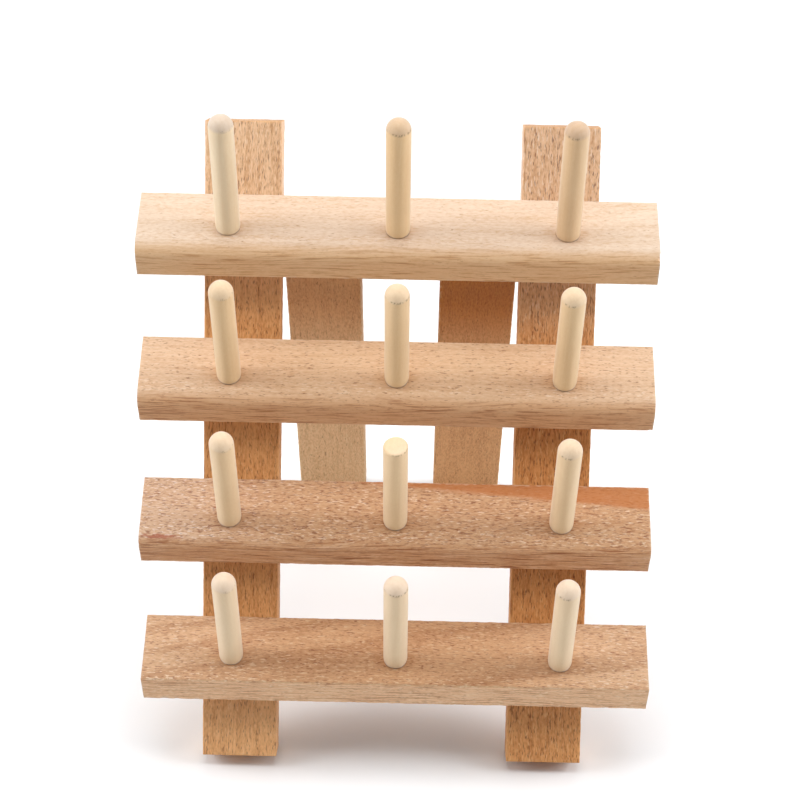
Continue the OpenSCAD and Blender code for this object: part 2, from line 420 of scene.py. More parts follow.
class Effect:
    """A shader node group that several finishes use, with named inputs and outputs."""

    KINDS = {1: "NodeSocketFloat", 3: "NodeSocketVector", 4: "NodeSocketColor"}

    def __init__(self, name: str, inputs: dict[str, Feed], outputs: dict[str, int]) -> None:
        """Makes the group's sockets.

        Args:
            name: the group's name.
            inputs: its inputs and their usual values.
            outputs: its outputs, with 1 for a value, 3 for a vector and 4 for a colour.
        """
        self.group = bpy.data.node_groups.new(name, "ShaderNodeTree")
        for key, value in inputs.items():
            size = len(value) if isinstance(value, tuple) else 1
            made = self.group.interface.new_socket(key, in_out="INPUT", socket_type=self.KINDS[size])
            made.default_value = value
        for key, size in outputs.items():
            self.group.interface.new_socket(key, in_out="OUTPUT", socket_type=self.KINDS[size])
        self.wiring = Wiring(self.group)
        self.inputs = self.group.nodes.new("NodeGroupInput").outputs
        self.outputs = self.group.nodes.new("NodeGroupOutput").inputs

    def give(self, name: str, source: Feed) -> None:
        """Feeds one of the group's outputs."""
        self.wiring.feed(self.outputs[name], source)

    def use(self, wiring: Wiring, **values: Feed) -> bpy.types.Node:
        """Places the group in a material.

        Args:
            wiring: the material's wiring.
            values: what goes into the group's inputs, with _ for each space in a name.

        Returns:
            The group's node.
        """
        made = wiring.tree.nodes.new("ShaderNodeGroup")
        made.node_tree = self.group
        for name, source in values.items():
            wiring.feed(made.inputs[name.replace("_", " ")], source)
        return made


class WoodGrain(Effect):
    """The effect of sawn and sanded wood, on a point in millimetres with X along the grain."""

    def __init__(self) -> None:
        """Builds the group."""
        super().__init__(
            "wood_grain",
            {
                "Point": (0.0, 0.0, 0.0), "Seed": 0.0, "Light": (0.8, 0.6, 0.4, 1.0),
                "Dark": (0.5, 0.3, 0.15, 1.0), "Fleck": (0.3, 0.15, 0.07, 1.0),
                "Pith": (0.0, 0.0, 0.0), "Ring Width": 3.0, "Rings": 0.3, "Streaks": 0.5,
                "Blotches": 0.3, "Flecks": 0.5, "Fleck Length": 4.0, "Fibre": 0.5, "Ends": 0.0,
                "Pale": (0.9, 0.8, 0.7, 1.0), "Nicks": 0.5, "Lines": 0.0,
            },
            {"Color": 4, "Roughness": 1, "Height": 1},
        )
        w, given = self.wiring, self.inputs
        seed = w.join(given["Seed"], given["Seed"], given["Seed"])
        seeded = w.vector("MULTIPLY_ADD", seed, (37.1, 11.3, 23.7), given["Point"])
        drawn = w.noise(seeded, 1.0, (0.012, 0.05, 0.05), colour=True)
        warp = w.vector("MULTIPLY", w.vector("SUBTRACT", drawn, (0.5, 0.5, 0.5)), (0.0, 7.0, 7.0))
        self.bent = w.vector("ADD", seeded, warp)
        self.fibre = w.noise(self.bent, 3.0, (0.5, 1.6, 1.6))
        self.thread = w.noise(self.bent, 3.0, (0.06, 1.5, 1.5))
        self.calm = w.times_plus(given["Lines"], -0.6, 1.0)
        self.find_pith(w.vector("ADD", given["Point"], warp))
        wood = self.plain_wood(seeded)
        pale = self.pale_marks()
        marks = w.mix(given["Ends"], self.dark_marks(), self.end_marks())
        lit = w.mix(w.times(pale, w.minus(1.0, given["Ends"])), wood, given["Pale"])
        self.give("Color", w.mix(w.times(marks, 0.88), lit, given["Fleck"]))
        self.give("Roughness", w.times_plus(self.fibre, 0.2, w.times_plus(marks, 0.15, 0.5)))
        relief = w.times_plus(self.fibre, 0.6, w.times(pale, 0.5))
        self.give("Height", w.minus(relief, marks))

    def find_pith(self, point: Socket) -> None:
        """Measures from the pith, whose X is how far it drifts sideways along the board.

        Args:
            point: the point in the board, warped as the wood grew.
        """
        w = self.wiring
        x, y, z = w.split(point)
        drift, pith_y, pith_z = w.split(self.inputs["Pith"])
        self.across = w.minus(y, w.times_plus(drift, x, pith_y))
        self.deep = w.minus(z, pith_z)
        self.radius = w.vector("LENGTH", w.join(0.0, self.across, self.deep))

    def plain_wood(self, seeded: Socket) -> Socket:
        """Returns the wood's colour, from rings, streaks, blotches, fibres and long lines.

        Args:
            seeded: the point, moved to the board's own part of the noises.

        Returns:
            The colour.
        """
        w, given = self.wiring, self.inputs
        phase = w.math("FRACT", w.math("DIVIDE", self.radius, given["Ring Width"]))
        rings = w.times(w.band(phase, 0.35, 0.92, 0.92, 1.0), given["Rings"])
        streak = w.noise(self.bent, 3.0, (0.03, 0.8, 0.8))
        blotch = w.noise(seeded, 2.0, (0.028, 0.07, 0.07))
        tone = w.times_plus(w.swing(streak), given["Streaks"], 0.3)
        tone = w.times_plus(w.step(self.thread, 0.48, 0.68, -0.18, 0.6), given["Lines"], tone)
        tone = w.plus(w.times_plus(w.swing(blotch), given["Blotches"], tone), rings)
        tone = w.times_plus(w.swing(self.fibre), w.times(given["Fibre"], self.calm), tone)
        tone = w.times_plus(given["Ends"], 0.3, tone)
        return w.mix(w.step(tone, -0.1, 1.1), given["Light"], given["Dark"])

    def dark_marks(self) -> Socket:
        """Returns a mask of ray flecks, as uneven dashes and a few crisp ones, and of dark lines."""
        w, given = self.wiring, self.inputs
        amount = given["Flecks"]
        stretch = w.math("DIVIDE", 1.0, given["Fleck Length"])
        broken = w.noise(self.bent, 3.0, w.join(stretch, 1.5, 1.5))
        start = w.times_plus(amount, -0.14, 0.64)
        dashes = w.times(w.step(broken, start, w.plus(start, 0.13)), w.step(amount, 0.0, 0.15))
        away, lot = w.cells(w.vector("MULTIPLY", self.bent, w.join(stretch, 1.9, 1.9)))
        keep = w.minus(1.0, amount)
        crisp = w.times(w.fade(away, 0.1, 0.3), w.step(lot, keep, w.plus(keep, 0.2)))
        flecks = w.times(w.math("MAXIMUM", w.times(dashes, 0.75), crisp), self.calm)
        lines = w.times(w.step(self.thread, 0.54, 0.68, 0.0, 0.75), given["Lines"])
        return w.math("MAXIMUM", flecks, lines)

    def pale_marks(self) -> Socket:
        """Returns a mask of pale specks, partly pale torn fibres and partly painted sparkle highlights, and
        of long pale lines.
        """
        w, given = self.wiring, self.inputs
        stretch = w.math("DIVIDE", 1.0, given["Fleck Length"])
        aside = w.vector("ADD", self.bent, (50.0, 9.0, 5.0))
        specked = w.noise(aside, 2.0, w.join(stretch, 1.9, 1.9))
        nicks = w.times(w.step(specked, 0.56, 0.7), w.times(given["Nicks"], self.calm))
        lines = w.times(w.fade(self.thread, 0.32, 0.46, 0.75), given["Lines"])
        return w.math("MAXIMUM", nicks, lines)

    def end_marks(self) -> Socket:
        """Returns a mask of the pores and rays that a cut end shows."""
        w = self.wiring
        away, lot = w.cells(w.vector("MULTIPLY", self.bent, (0.2, 3.0, 3.0)))
        pores = w.times(w.fade(away, 0.15, 0.4, 0.8), w.step(lot, 0.3, 0.6))
        angle = w.times(w.math("ARCTAN2", self.deep, self.across), 90.0)
        ray = w.noise(w.join(angle, w.times(self.radius, 0.25), 0.0), 1.0)
        return w.math("MAXIMUM", pores, w.step(ray, 0.55, 0.75, 0.0, 0.6))


class BoardEdge(Effect):
    """Masks of a board's edges, its front and the ridge behind it, on a point from its middle."""

    def __init__(self) -> None:
        """Builds the group."""
        super().__init__(
            "board_edge",
            {"Point": (0.0, 0.0, 0.0), "Half": (100.0, 15.0, 7.5), "Width": 1.0, "Reach": 1.6},
            {"Mask": 1, "Front": 1, "Flank": 1, "Ridge": 1},
        )
        w, given = self.wiring, self.inputs
        x, y, z = w.split(w.vector("SUBTRACT", given["Half"], w.vector("ABSOLUTE", given["Point"])))
        least = w.math("MINIMUM", w.math("MINIMUM", x, y), z)
        most = w.math("MAXIMUM", w.math("MAXIMUM", x, y), z)
        middle = w.minus(w.minus(w.plus(w.plus(x, y), z), most), least)
        uneven = w.noise(given["Point"], 3.0, (0.35, 0.9, 0.9))
        width = w.times(given["Width"], w.step(uneven, 0.3, 0.75, 0.2, 1.8))
        self.give("Mask", w.fade(middle, 0.0, width))
        self.give("Flank", w.fade(y, 0.0, 0.9))
        in_front = w.plus(w.split(given["Half"])[1], w.split(given["Point"])[1])
        self.give("Front", w.fade(in_front, 0.0, given["Reach"]))
        # The ridge mask places the painted highlights behind the front
        self.give("Ridge", w.band(w.minus(in_front, given["Reach"]), -1.0, 0.6, 2.0, 5.5))


class PlatedSteel(Effect):
    """The effect of plated steel with fine rub marks, on a point in millimetres."""

    def __init__(self) -> None:
        """Builds the group."""
        super().__init__(
            "plated_steel",
            {
                "Point": (0.0, 0.0, 0.0), "Bright": (0.7, 0.7, 0.7, 1.0),
                "Dull": (0.5, 0.5, 0.5, 1.0), "Polish": 0.3,
            },
            {"Color": 4, "Roughness": 1, "Height": 1},
        )
        w, given = self.wiring, self.inputs
        rub = w.noise(given["Point"], 3.0, (0.4, 5.0, 5.0))
        cloud = w.noise(given["Point"], 3.0, (0.3, 0.3, 0.3))
        self.give("Color", w.mix(w.step(cloud, 0.35, 0.7), given["Bright"], given["Dull"]))
        self.give("Roughness", w.times_plus(cloud, 0.15, w.times_plus(rub, 0.2, given["Polish"])))
        self.give("Height", rub)


class Effects:
    """The effects that the finishes share, each built once."""

    def __init__(self) -> None:
        """Builds the node groups."""
        self.grain = WoodGrain()
        self.edge = BoardEdge()
        self.metal = PlatedSteel()


@dataclass(frozen=True)
class Bearings:
    """Where a material's pattern lies: its middle and its axes, X along the grain, in millimetres."""

    frame: Matrix

    @staticmethod
    def of_board(place: Matrix, middle: Vector, upright: bool) -> "Bearings":
        """Returns the bearings of a board.

        Args:
            place: the board's own frame.
            middle: the board's middle in that frame.
            upright: whether the grain runs along Z there, and not along X.

        Returns:
            The bearings, with X along the grain.
        """
        turn = Matrix(((0, 1, 0), (0, 0, 1), (1, 0, 0))).to_4x4() if upright else Matrix.Identity(4)
        return Bearings(place @ Matrix.Translation(middle) @ turn)

    def point(self, w: Wiring) -> Socket:
        """Returns the point in these bearings, from Object coordinates, in millimetres."""
        inputs = {
            "Vector": w.node("TexCoord").outputs["Object"],
            "Location": tuple(self.frame.translation * MM),
            "Rotation": tuple(self.frame.to_3x3().to_euler("XYZ")),
            "Scale": (MM, MM, MM),
        }
        return w.node("Mapping", inputs, vector_type="TEXTURE").outputs[0]


class Skin:
    """A material in the making: its wiring and its Principled shader."""

    def __init__(self, name: str) -> None:
        """Makes the material.

        Args:
            name: the material's name.
        """
        self.material = bpy.data.materials.new(name)
        self.material.use_nodes = True
        self.wiring = Wiring(self.material.node_tree)
        self.shader = self.material.node_tree.nodes["Principled BSDF"]

    def dress(
        self, colour: Socket, surface: bpy.types.Node, relief: float, **plain: float
    ) -> bpy.types.Material:
        """Feeds the shader.

        Args:
            colour: the base colour.
            surface: the effect's node, which gives the roughness and the height.
            relief: how deep the height goes, in millimetres.
            plain: plain values of the shader, with _ for each space in a name.

        Returns:
            The finished material.
        """
        w, inputs = self.wiring, self.shader.inputs
        bump = {"Strength": 1.0, "Distance": relief * MM, "Height": surface.outputs["Height"]}
        w.feed(inputs["Base Color"], colour)
        w.feed(inputs["Roughness"], surface.outputs["Roughness"])
        w.feed(inputs["Normal"], w.node("Bump", bump).outputs[0])
        for name, value in plain.items():
            inputs[name.replace("_", " ")].default_value = value
        return self.material


def from_peg(w: Wiring, along: Feed) -> Socket:
    """Returns how far a place along a rail is from the nearest peg."""
    nearest = w.math("ROUND", w.math("DIVIDE", along, LAYOUT.peg_space))
    return w.minus(along, w.times(nearest, LAYOUT.peg_space))


@dataclass(frozen=True)
class Beech:
    """The look of one beech board: its colours, its rings and how strong its figure is.

    Lengths are in millimetres from the board's middle. Each tint multiplies the colour of a part
    of the board: the front with its rounding, partly its own tone and partly painted shade and
    light; the flanks, with painted light; the upper end, with painted light on an upright and
    painted shade on a strut; the tips of a rail, lighter towards its ends; and the foot of an
    upright, with painted light. The rails also get painted shadows beside their pegs and painted
    highlights along the ridge behind the front.
    """

    light: str
    dark: str
    fleck: str
    # The colour of the pale edges and specks: partly worn wood, partly painted highlight
    edge: str
    pith: tuple[float, float, float]
    seed: float
    rings: float
    ring_width: float = 3.0
    streaks: float = 0.6
    blotches: float = 0.4
    flecks: float = 0.5
    fleck_length: float = 2.6
    fibre: float = 1.2
    relief: float = 0.03
    edge_width: float = 0.8
    # A tint for the front and its rounding: partly the sawn face's own tone, partly painted shade and light
    front: Tint = PLAIN
    front_reach: float = 1.6
    # A tint for the side faces, painting light on them
    flank: Tint = PLAIN
    # A tint for the board's upper end: painted light on the uprights, painted shade on the struts
    crown_shading: Tint = PLAIN
    crown_from: float = 85.0
    crown_reach: float = 15.0
    tips: Tint = PLAIN
    tip_right: float = 1.0
    # A tint for an upright's foot, painting light on its lower end
    foot: Tint = PLAIN
    # How many pale specks there are: partly pale torn fibres, partly painted sparkle highlights
    nicks: float = 0.5
    lines: float = 1.0
    sapwood: tuple[float, float] = (40.0, 0.0)
    patch: tuple[float, float, float] = (0.0, 0.0, 90.0)
    # How dark the painted shadows beside each peg on the top face are
    painted_peg_shadow: float = 0.0
    # How strong the painted highlights along the ridge behind the front are
    glints: float = 0.0

    def materials(
        self, name: str, effects: Effects, bearings: Bearings, half: Vector
    ) -> list[bpy.types.Material]:
        """Makes the board's two materials.

        Args:
            name: the board's name.
            effects: the shared effects.
            bearings: the board's bearings.
            half: half of the board's sizes, along those bearings.

        Returns:
            The material of its long faces and the one of its cut ends.
        """
        faces = self._material(f"{name}_faces", effects, bearings, half, 0.0)
        return [faces, self._material(f"{name}_ends", effects, bearings, half, 1.0)]

    def _material(
        self, name: str, effects: Effects, bearings: Bearings, half: Vector, ends: float
    ) -> bpy.types.Material:
        """Makes one of the board's materials.

        Args:
            name: the material's name.
            effects: the shared effects.
            bearings: the board's bearings.
            half: half of the board's sizes, along those bearings.
            ends: 1 for the cut ends and 0 for the long faces.

        Returns:
            The material.
        """
        skin = Skin(name)
        w = skin.wiring
        point = bearings.point(w)
        edge = effects.edge.use(
            w, Point=point, Half=tuple(half), Width=self.edge_width, Reach=self.front_reach
        )
        front = edge.outputs["Front"]
        grain = effects.grain.use(
            w, Point=point, Seed=self.seed, Light=linear(self.light), Dark=linear(self.dark),
            Fleck=linear(self.fleck), Pith=self.pith, Ring_Width=self.ring_width,
            Rings=w.times_plus(front, -0.8 * self.rings, self.rings),
            Streaks=self.streaks, Blotches=self.blotches, Flecks=self.flecks,
            Fleck_Length=self.fleck_length, Fibre=self.fibre, Ends=ends, Pale=linear(self.edge),
            # Glints add painted highlights along the ridge behind the front, as more pale specks
            Nicks=w.times_plus(edge.outputs["Ridge"], self.glints, self.nicks),
            Lines=w.times(front, self.lines),
        )
        # The front tint: partly the sawn front's own tone, partly painted shade and light
        colour = w.tinted(front, grain.outputs["Color"], self.front)
        # Painted light on the side faces
        colour = w.tinted(edge.outputs["Flank"], colour, self.flank)
        colour = self._shaded(w, w.split(point)[0], front, colour)
        colour = self._stained_and_shadowed(w, point, colour)
        # Pale edges: partly worn wood, partly painted highlight along them
        colour = w.mix(w.times(edge.outputs["Mask"], 0.6), colour, linear(self.edge))
        return skin.dress(colour, grain, self.relief, Specular_IOR_Level=WOOD_SPECULAR)

    def _shaded(self, w: Wiring, along: Socket, front: Socket, colour: Socket) -> Socket:
        """Paints light and shade along the board and tints a rail's tips: painted light on an upright's
        upper end and foot, painted shade on a strut's upper end, and lighter tips on a rail.

        Args:
            w: the material's wiring.
            along: the place along the board, from its middle.
            front: the mask of the board's front.
            colour: the wood's colour so far.

        Returns:
            The colour with the painted light and shade, and the tints of the tips.
        """
        # Painted light at an upright's upper end, painted shade at a strut's, where the rails shade it
        crown_shading = w.step(along, self.crown_from, self.crown_from + self.crown_reach)
        colour = w.tinted(crown_shading, colour, self.crown_shading)
        outer = w.step(w.math("ABSOLUTE", along), 35.0, 90.0)
        tips = w.times(outer, w.step(along, -10.0, 10.0, 1.0, self.tip_right))
        colour = w.tinted(w.times(tips, w.minus(1.0, front)), colour, self.tips)
        # Painted light on an upright's lower end
        return w.tinted(w.fade(along, -92.0, -82.0), colour, self.foot)

    def _stained_and_shadowed(self, w: Wiring, point: Socket, colour: Socket) -> Socket:
        """Adds a band of redder heartwood along the back edge, a torn reddish patch and painted peg
        shadows.

        Args:
            w: the material's wiring.
            point: the point in the board's bearings.
            colour: the wood's colour so far.

        Returns:
            The colour with all three.
        """
        start, drift = self.sapwood
        x, y, _ = w.split(point)
        ragged = w.noise(point, 3.0, (0.05, 0.5, 0.5))
        inner = w.times_plus(w.swing(ragged), 3.0, w.times_plus(x, drift, y))
        heart = w.step(inner, start - 1.0, start + 1.5)
        colour = w.mix(w.times(heart, 0.82), colour, linear("#B9713A"))
        away = w.vector("MULTIPLY", w.vector("SUBTRACT", point, self.patch), (0.075, 0.5, 0.5))
        rough = w.noise(point, 3.0, (0.5, 1.4, 1.4))
        torn = w.times_plus(rough, 1.2, w.vector("LENGTH", away))
        colour = w.mix(w.fade(torn, 0.9, 1.3, 0.75), colour, linear("#A6573D"))
        return self._paint_peg_shadows(w, point, rough, colour) if self.painted_peg_shadow else colour

    def _paint_peg_shadows(self, w: Wiring, point: Socket, rough: Socket, colour: Socket) -> Socket:
        """Paints soft shadows on the top face, along the grain on both sides of each peg.

        Args:
            w: the material's wiring.
            point: the point in the board's bearings.
            rough: the noise that roughens the painted shadows.
            colour: the wood's colour so far.

        Returns:
            The colour with the painted shadows.
        """
        x, y, z = w.split(point)
        along = w.math("DIVIDE", from_peg(w, x), 13.0)
        across = w.math("DIVIDE", w.minus(y, LAYOUT.rail_d / 2 - LAYOUT.peg_back), 6.0)
        reach = w.times_plus(rough, 0.5, w.vector("LENGTH", w.join(along, across, 0.0)))
        # Painted shadow: darkens the top face beside each peg, where the pegs shade it
        peg_shadow_mask = w.times(w.fade(reach, 0.45, 1.2, self.painted_peg_shadow), w.step(z, 4.0, 6.5))
        return w.tinted(peg_shadow_mask, colour, (0.82, 0.72, 0.6))


@dataclass(frozen=True)
class PegWood:
    """The look of a row of pegs: pale dowel, torn in places where its dome begins, with painted shade at
    its foot, painted shade and light on its dome and painted light on the left peg.
    """

    light: str
    dark: str
    # A tint for the dome, painting shade on the top row's domes and light on the others'
    dome: Tint
    # A tint for the left peg, painting light on it
    left: Tint = PLAIN
    right: Tint = PLAIN
    fleck: str = "#A8875A"
    relief: float = 0.02

    def material(self, name: str, effects: Effects, row: Row) -> bpy.types.Material:
        """Makes the material of one row's pegs.

        Args:
            name: the material's name.
            effects: the shared effects.
            row: the rail that the pegs stand on.

        Returns:
            The material.
        """
        skin = Skin(name)
        w = skin.wiring
        foot = Vector((0, -LAYOUT.peg_back, 0))
        point = Bearings.of_board(LAYOUT.on_rail(row), foot, upright=True).point(w)
        grain = effects.grain.use(
            w, Point=point, Seed=3.0 + row.value, Light=linear(self.light), Dark=linear(self.dark),
            Fleck=linear(self.fleck), Pith=(0.0, 40.0, 55.0), Ring_Width=2.2, Rings=0.08,
            Streaks=0.45, Blotches=0.5, Flecks=0.0, Fleck_Length=3.0, Fibre=0.4, Ends=0.0, Nicks=0.0,
        )
        up, across, _ = w.split(point)
        colour = w.mix(self._torn(w, point), grain.outputs["Color"], linear(self.fleck))
        # Painted shade and light on the dome
        colour = w.tinted(w.step(up, LAYOUT.peg_shoulder, LAYOUT.peg_shoulder + 2.0), colour, self.dome)
        # Painted light on the left peg; the right peg's tint makes it a little darker
        colour = w.tinted(w.fade(across, -40.0, -20.0), colour, self.left)
        colour = w.tinted(w.step(across, 20.0, 40.0), colour, self.right)
        # Painted shade at the peg's foot, where it meets the rail
        colour = w.mix(w.fade(up, 0.0, 1.0, 0.6), colour, linear("#8A6238"))
        return skin.dress(
            colour, grain, self.relief, Specular_IOR_Level=WOOD_SPECULAR, Sheen_Weight=0.6
        )

    def _torn(self, w: Wiring, point: Socket) -> Socket:
        """Returns a mask of torn spots on a peg's flank, in a narrow band just above its shoulder.

        Args:
            w: the material's wiring.
            point: the point in the pegs' bearings.

        Returns:
            The mask.
        """
        up, across, back = w.split(point)
        shoulder = LAYOUT.peg_shoulder
        coarse = w.step(w.noise(point, 1.0, (0.1, 0.22, 0.22)), 0.5, 0.56)
        fine = w.step(w.noise(point, 3.0, (0.9, 1.3, 1.3)), 0.42, 0.6)
        flank = w.vector("LENGTH", w.join(from_peg(w, across), back, 0.0))
        spots = w.times(w.times(coarse, fine), w.step(flank, 4.3, 4.5, 0.0, 0.8))
        band = w.band(up, shoulder + 0.4, shoulder + 1.2, shoulder + 1.4, shoulder + 2.2)
        return w.times(band, spots)


@dataclass(frozen=True)
class Steel:
    """The look of a plated steel fitting."""

    bright: str
    dull: str
    polish: float
    relief: float = 0.004

    def material(self, name: str, effects: Effects, bearings: Bearings) -> bpy.types.Material:
        """Makes the material, with its rub marks along the X axis of the bearings.

        Args:
            name: the material's name.
            effects: the shared effects.
            bearings: the fitting's bearings.

        Returns:
            The material.
        """
        skin = Skin(name)
        w = skin.wiring
        metal = effects.metal.use(
            w, Point=bearings.point(w), Bright=linear(self.bright), Dull=linear(self.dull),
            Polish=self.polish,
        )
        return skin.dress(metal.outputs["Color"], metal, self.relief, Metallic=1.0)


# Mesh tools, all in millimetres


def block(low: tuple[float, float, float], high: tuple[float, float, float]) -> bmesh.types.BMesh:
    """Returns a block between two corners.

    Args:
        low: the corner with the least X, Y and Z.
        high: the opposite corner.

    Returns:
        The block.
    """
    low, high = Vector(low), Vector(high)
    shape = bmesh.new()
    place = Matrix.Translation((low + high) / 2) @ Matrix.Diagonal((*(high - low), 1))
    bmesh.ops.create_cube(shape, size=1, matrix=place)
    return shape


def trim(shape: bmesh.types.BMesh, point: Vector, outward: Vector) -> None:
    """Saws off what lies beyond a plane, and closes the cut.

    Args:
        shape: the piece.
        point: a point on the plane.
        outward: the plane's normal, towards what goes.
    """
    everything = shape.verts[:] + shape.edges[:] + shape.faces[:]
    bmesh.ops.bisect_plane(
        shape, geom=everything, dist=1e-3, plane_co=point, plane_no=outward, clear_outer=True
    )
    bmesh.ops.holes_fill(shape, edges=[e for e in shape.edges if e.is_boundary])
    bmesh.ops.remove_doubles(shape, verts=shape.verts, dist=1e-3)


def mark(shape: bmesh.types.BMesh, axis: int, places: list[float]) -> None:
    """Rules lines round a piece where planes across one axis meet it, and changes no outline.

    Args:
        shape: the piece.
        axis: the axis that the planes cut across.
        places: where they lie on it.
    """
    normal = Vector((axis == 0, axis == 1, axis == 2))
    for place in places:
        everything = shape.verts[:] + shape.edges[:] + shape.faces[:]
        bmesh.ops.bisect_plane(shape, geom=everything, dist=1e-3, plane_co=normal * place, plane_no=normal)


def edges_along(
    shape: bmesh.types.BMesh, axis: int, test: Test = lambda middle: True
) -> list[bmesh.types.BMEdge]:
    """Returns the edges that run along one axis and whose middle passes a test.

    Args:
        shape: the piece.
        axis: the axis.
        test: what an edge's middle has to pass.

    Returns:
        The edges.
    """
    found = []
    for edge in shape.edges:
        run = edge.verts[1].co - edge.verts[0].co
        middle = (edge.verts[0].co + edge.verts[1].co) / 2
        if abs(run[axis]) > 0.9 * run.length and test(middle):
            found.append(edge)
    return found


def soften(shape: bmesh.types.BMesh, edges: list[bmesh.types.BMEdge], radius: float, segments: int) -> None:
    """Rounds edges.

    Args:
        shape: the piece.
        edges: its edges.
        radius: how far the rounding reaches.
        segments: how many faces it has.
    """
    bmesh.ops.bevel(
        shape, geom=edges, offset=radius, offset_type="OFFSET", segments=segments,
        profile=0.5, affect="EDGES", material=-1, clamp_overlap=True,
    )


def rim_edges(shape: bmesh.types.BMesh, axis: int) -> list[bmesh.types.BMEdge]:
    """Returns the edges round the two ends of a piece that is long along one axis.

    Args:
        shape: the piece.
        axis: the axis.

    Returns:
        The edges.
    """
    found = []
    for edge in shape.edges:
        if len(edge.link_faces) == 2:
            ends = [abs(face.normal[axis]) > 0.5 for face in edge.link_faces]
            if ends[0] != ends[1]:
                found.append(edge)
    return found


def slice_lengthways(shape: bmesh.types.BMesh, axis: int, step: float, least: float) -> None:
    """Divides the long edges of a piece, so that it can be worn and dented.

    Args:
        shape: the piece.
        axis: the axis that the edges follow.
        step: about how long the divided edges are.
        least: how long an edge has to be.
    """
    edges = [e for e in edges_along(shape, axis) if e.calc_length() > least]
    cuts = int(max(e.calc_length() for e in edges) / step)
    bmesh.ops.subdivide_edges(shape, edges=edges, cuts=cuts, use_grid_fill=True)


def wear(
    shape: bmesh.types.BMesh, seed: float, face_depth: float, edge_depth: float, stretch: Vector
) -> None:
    """Sinks the surface a little by a fixed noise, and the edges by more.

    Args:
        shape: the piece.
        seed: which part of the noise it takes.
        face_depth: the deepest hollow in a face.
        edge_depth: the deepest nick in an edge.
        stretch: how many features of the noise lie in a millimetre, along each axis.
    """
    shape.normal_update()
    start = Vector((seed * 7.3, seed * 3.1, seed * 5.7))
    moves = []
    for vert in shape.verts:
        sharp = any(e.calc_face_angle(0) > 0.2 for e in vert.link_edges)
        point = Vector(a * b for a, b in zip(vert.co, stretch)) + start
        swell = 0.5 + 0.5 * noise.noise(point * 0.15)
        grit = 0.5 + 0.5 * noise.fractal(point, 1.0, 2.2, 3)
        dent = edge_depth * min(max(grit, 0), 1) ** 2 if sharp else 0.3 * face_depth * grit
        moves.append((vert, vert.normal * (face_depth * swell + dent)))
    for vert, move in moves:
        vert.co -= move


def ball(
    middle: tuple[float, float, float], radii: tuple[float, float, float], seed: float
) -> bmesh.types.BMesh:
    """Returns a rough lump, for tearing a chip out of a board.

    Args:
        middle: its middle.
        radii: its half sizes.
        seed: which noise roughens it.

    Returns:
        The lump.
    """
    shape = bmesh.new()
    bmesh.ops.create_icosphere(shape, subdivisions=4, radius=1)
    for vert in shape.verts:
        vert.co *= 1 + 0.25 * noise.noise(vert.co * 2.5 + Vector((seed, seed * 2, 0)))
    return moved(shape, Matrix.Translation(middle) @ Matrix.Diagonal((*radii, 1)))


def cone(r_low: float, r_high: float, low: float, high: float, sides: int = 48) -> bmesh.types.BMesh:
    """Returns a cylinder or cone round Z, between two heights.

    Args:
        r_low: its radius at the bottom.
        r_high: its radius at the top.
        low: the height of its bottom.
        high: the height of its top.
        sides: how many faces go round it.

    Returns:
        The closed shape.
    """
    shape = bmesh.new()
    place = Matrix.Translation((0, 0, (low + high) / 2))
    bmesh.ops.create_cone(
        shape, cap_ends=True, segments=sides, radius1=r_low, radius2=r_high, depth=high - low, matrix=place
    )
    return shape


def turned(outline: list[tuple[float, float]], steps: int) -> bmesh.types.BMesh:
    """Returns a shape that is turned round Z.

    Args:
        outline: its half outline, as radius and height, from the bottom up and from axis to axis.
        steps: how many faces go round it.

    Returns:
        The closed shape.
    """
    shape = bmesh.new()
    verts = [shape.verts.new((radius, 0, height)) for radius, height in outline]
    edges = [shape.edges.new(pair) for pair in zip(verts, verts[1:])]
    bmesh.ops.spin(
        shape, geom=verts + edges, cent=(0, 0, 0), axis=(0, 0, 1), angle=math.tau, steps=steps,
        use_merge=True,
    )
    bmesh.ops.remove_doubles(shape, verts=shape.verts, dist=1e-4)
    bmesh.ops.recalc_face_normals(shape, faces=shape.faces)
    return shape


def moved(shape: bmesh.types.BMesh, place: Matrix) -> bmesh.types.BMesh:
    """Returns the same shape after it has been moved."""
    bmesh.ops.transform(shape, verts=shape.verts, matrix=place)
    return shape


def face_outwards(shape: bmesh.types.BMesh) -> None:
    """Turns every face of a closed shape outwards."""
    bmesh.ops.recalc_face_normals(shape, faces=shape.faces)
    if shape.calc_volume(signed=True) < 0:
        bmesh.ops.reverse_faces(shape, faces=shape.faces)


def to_mesh(shape: bmesh.types.BMesh, name: str) -> bpy.types.Mesh:
    """Turns a shape into a mesh and frees it.

    Args:
        shape: the shape.
        name: the mesh's name.

    Returns:
        The mesh.
    """
    mesh = bpy.data.meshes.new(name)
    shape.to_mesh(mesh)
    shape.free()
    return mesh


def combined(
    first: bmesh.types.BMesh, others: list[bmesh.types.BMesh], operation: str
) -> bmesh.types.BMesh:
    """Cuts shapes out of the first one, or joins them to it.

    Args:
        first: the piece.
        others: what it is combined with. All of these shapes are used up.
        operation: DIFFERENCE or UNION.

    Returns:
        The new shape.
    """
    scene = bpy.context.scene.collection
    for shape in (first, *others):
        face_outwards(shape)
    base = bpy.data.objects.new("work", to_mesh(first, "work"))
    scene.objects.link(base)
    tools = []
    for other in others:
        tool = bpy.data.objects.new("tool", to_mesh(other, "tool"))
        scene.objects.link(tool)
        cut = base.modifiers.new("cut", "BOOLEAN")
        cut.operation = operation
        cut.object = tool
        cut.solver = "MANIFOLD"
        tools.append(tool)
    graph = bpy.context.evaluated_depsgraph_get()
    result = bmesh.new()
    result.from_mesh(base.evaluated_get(graph).to_mesh())
    for made in [base, *tools]:
        mesh = made.data
        bpy.data.objects.remove(made)
        bpy.data.meshes.remove(mesh)
    return result


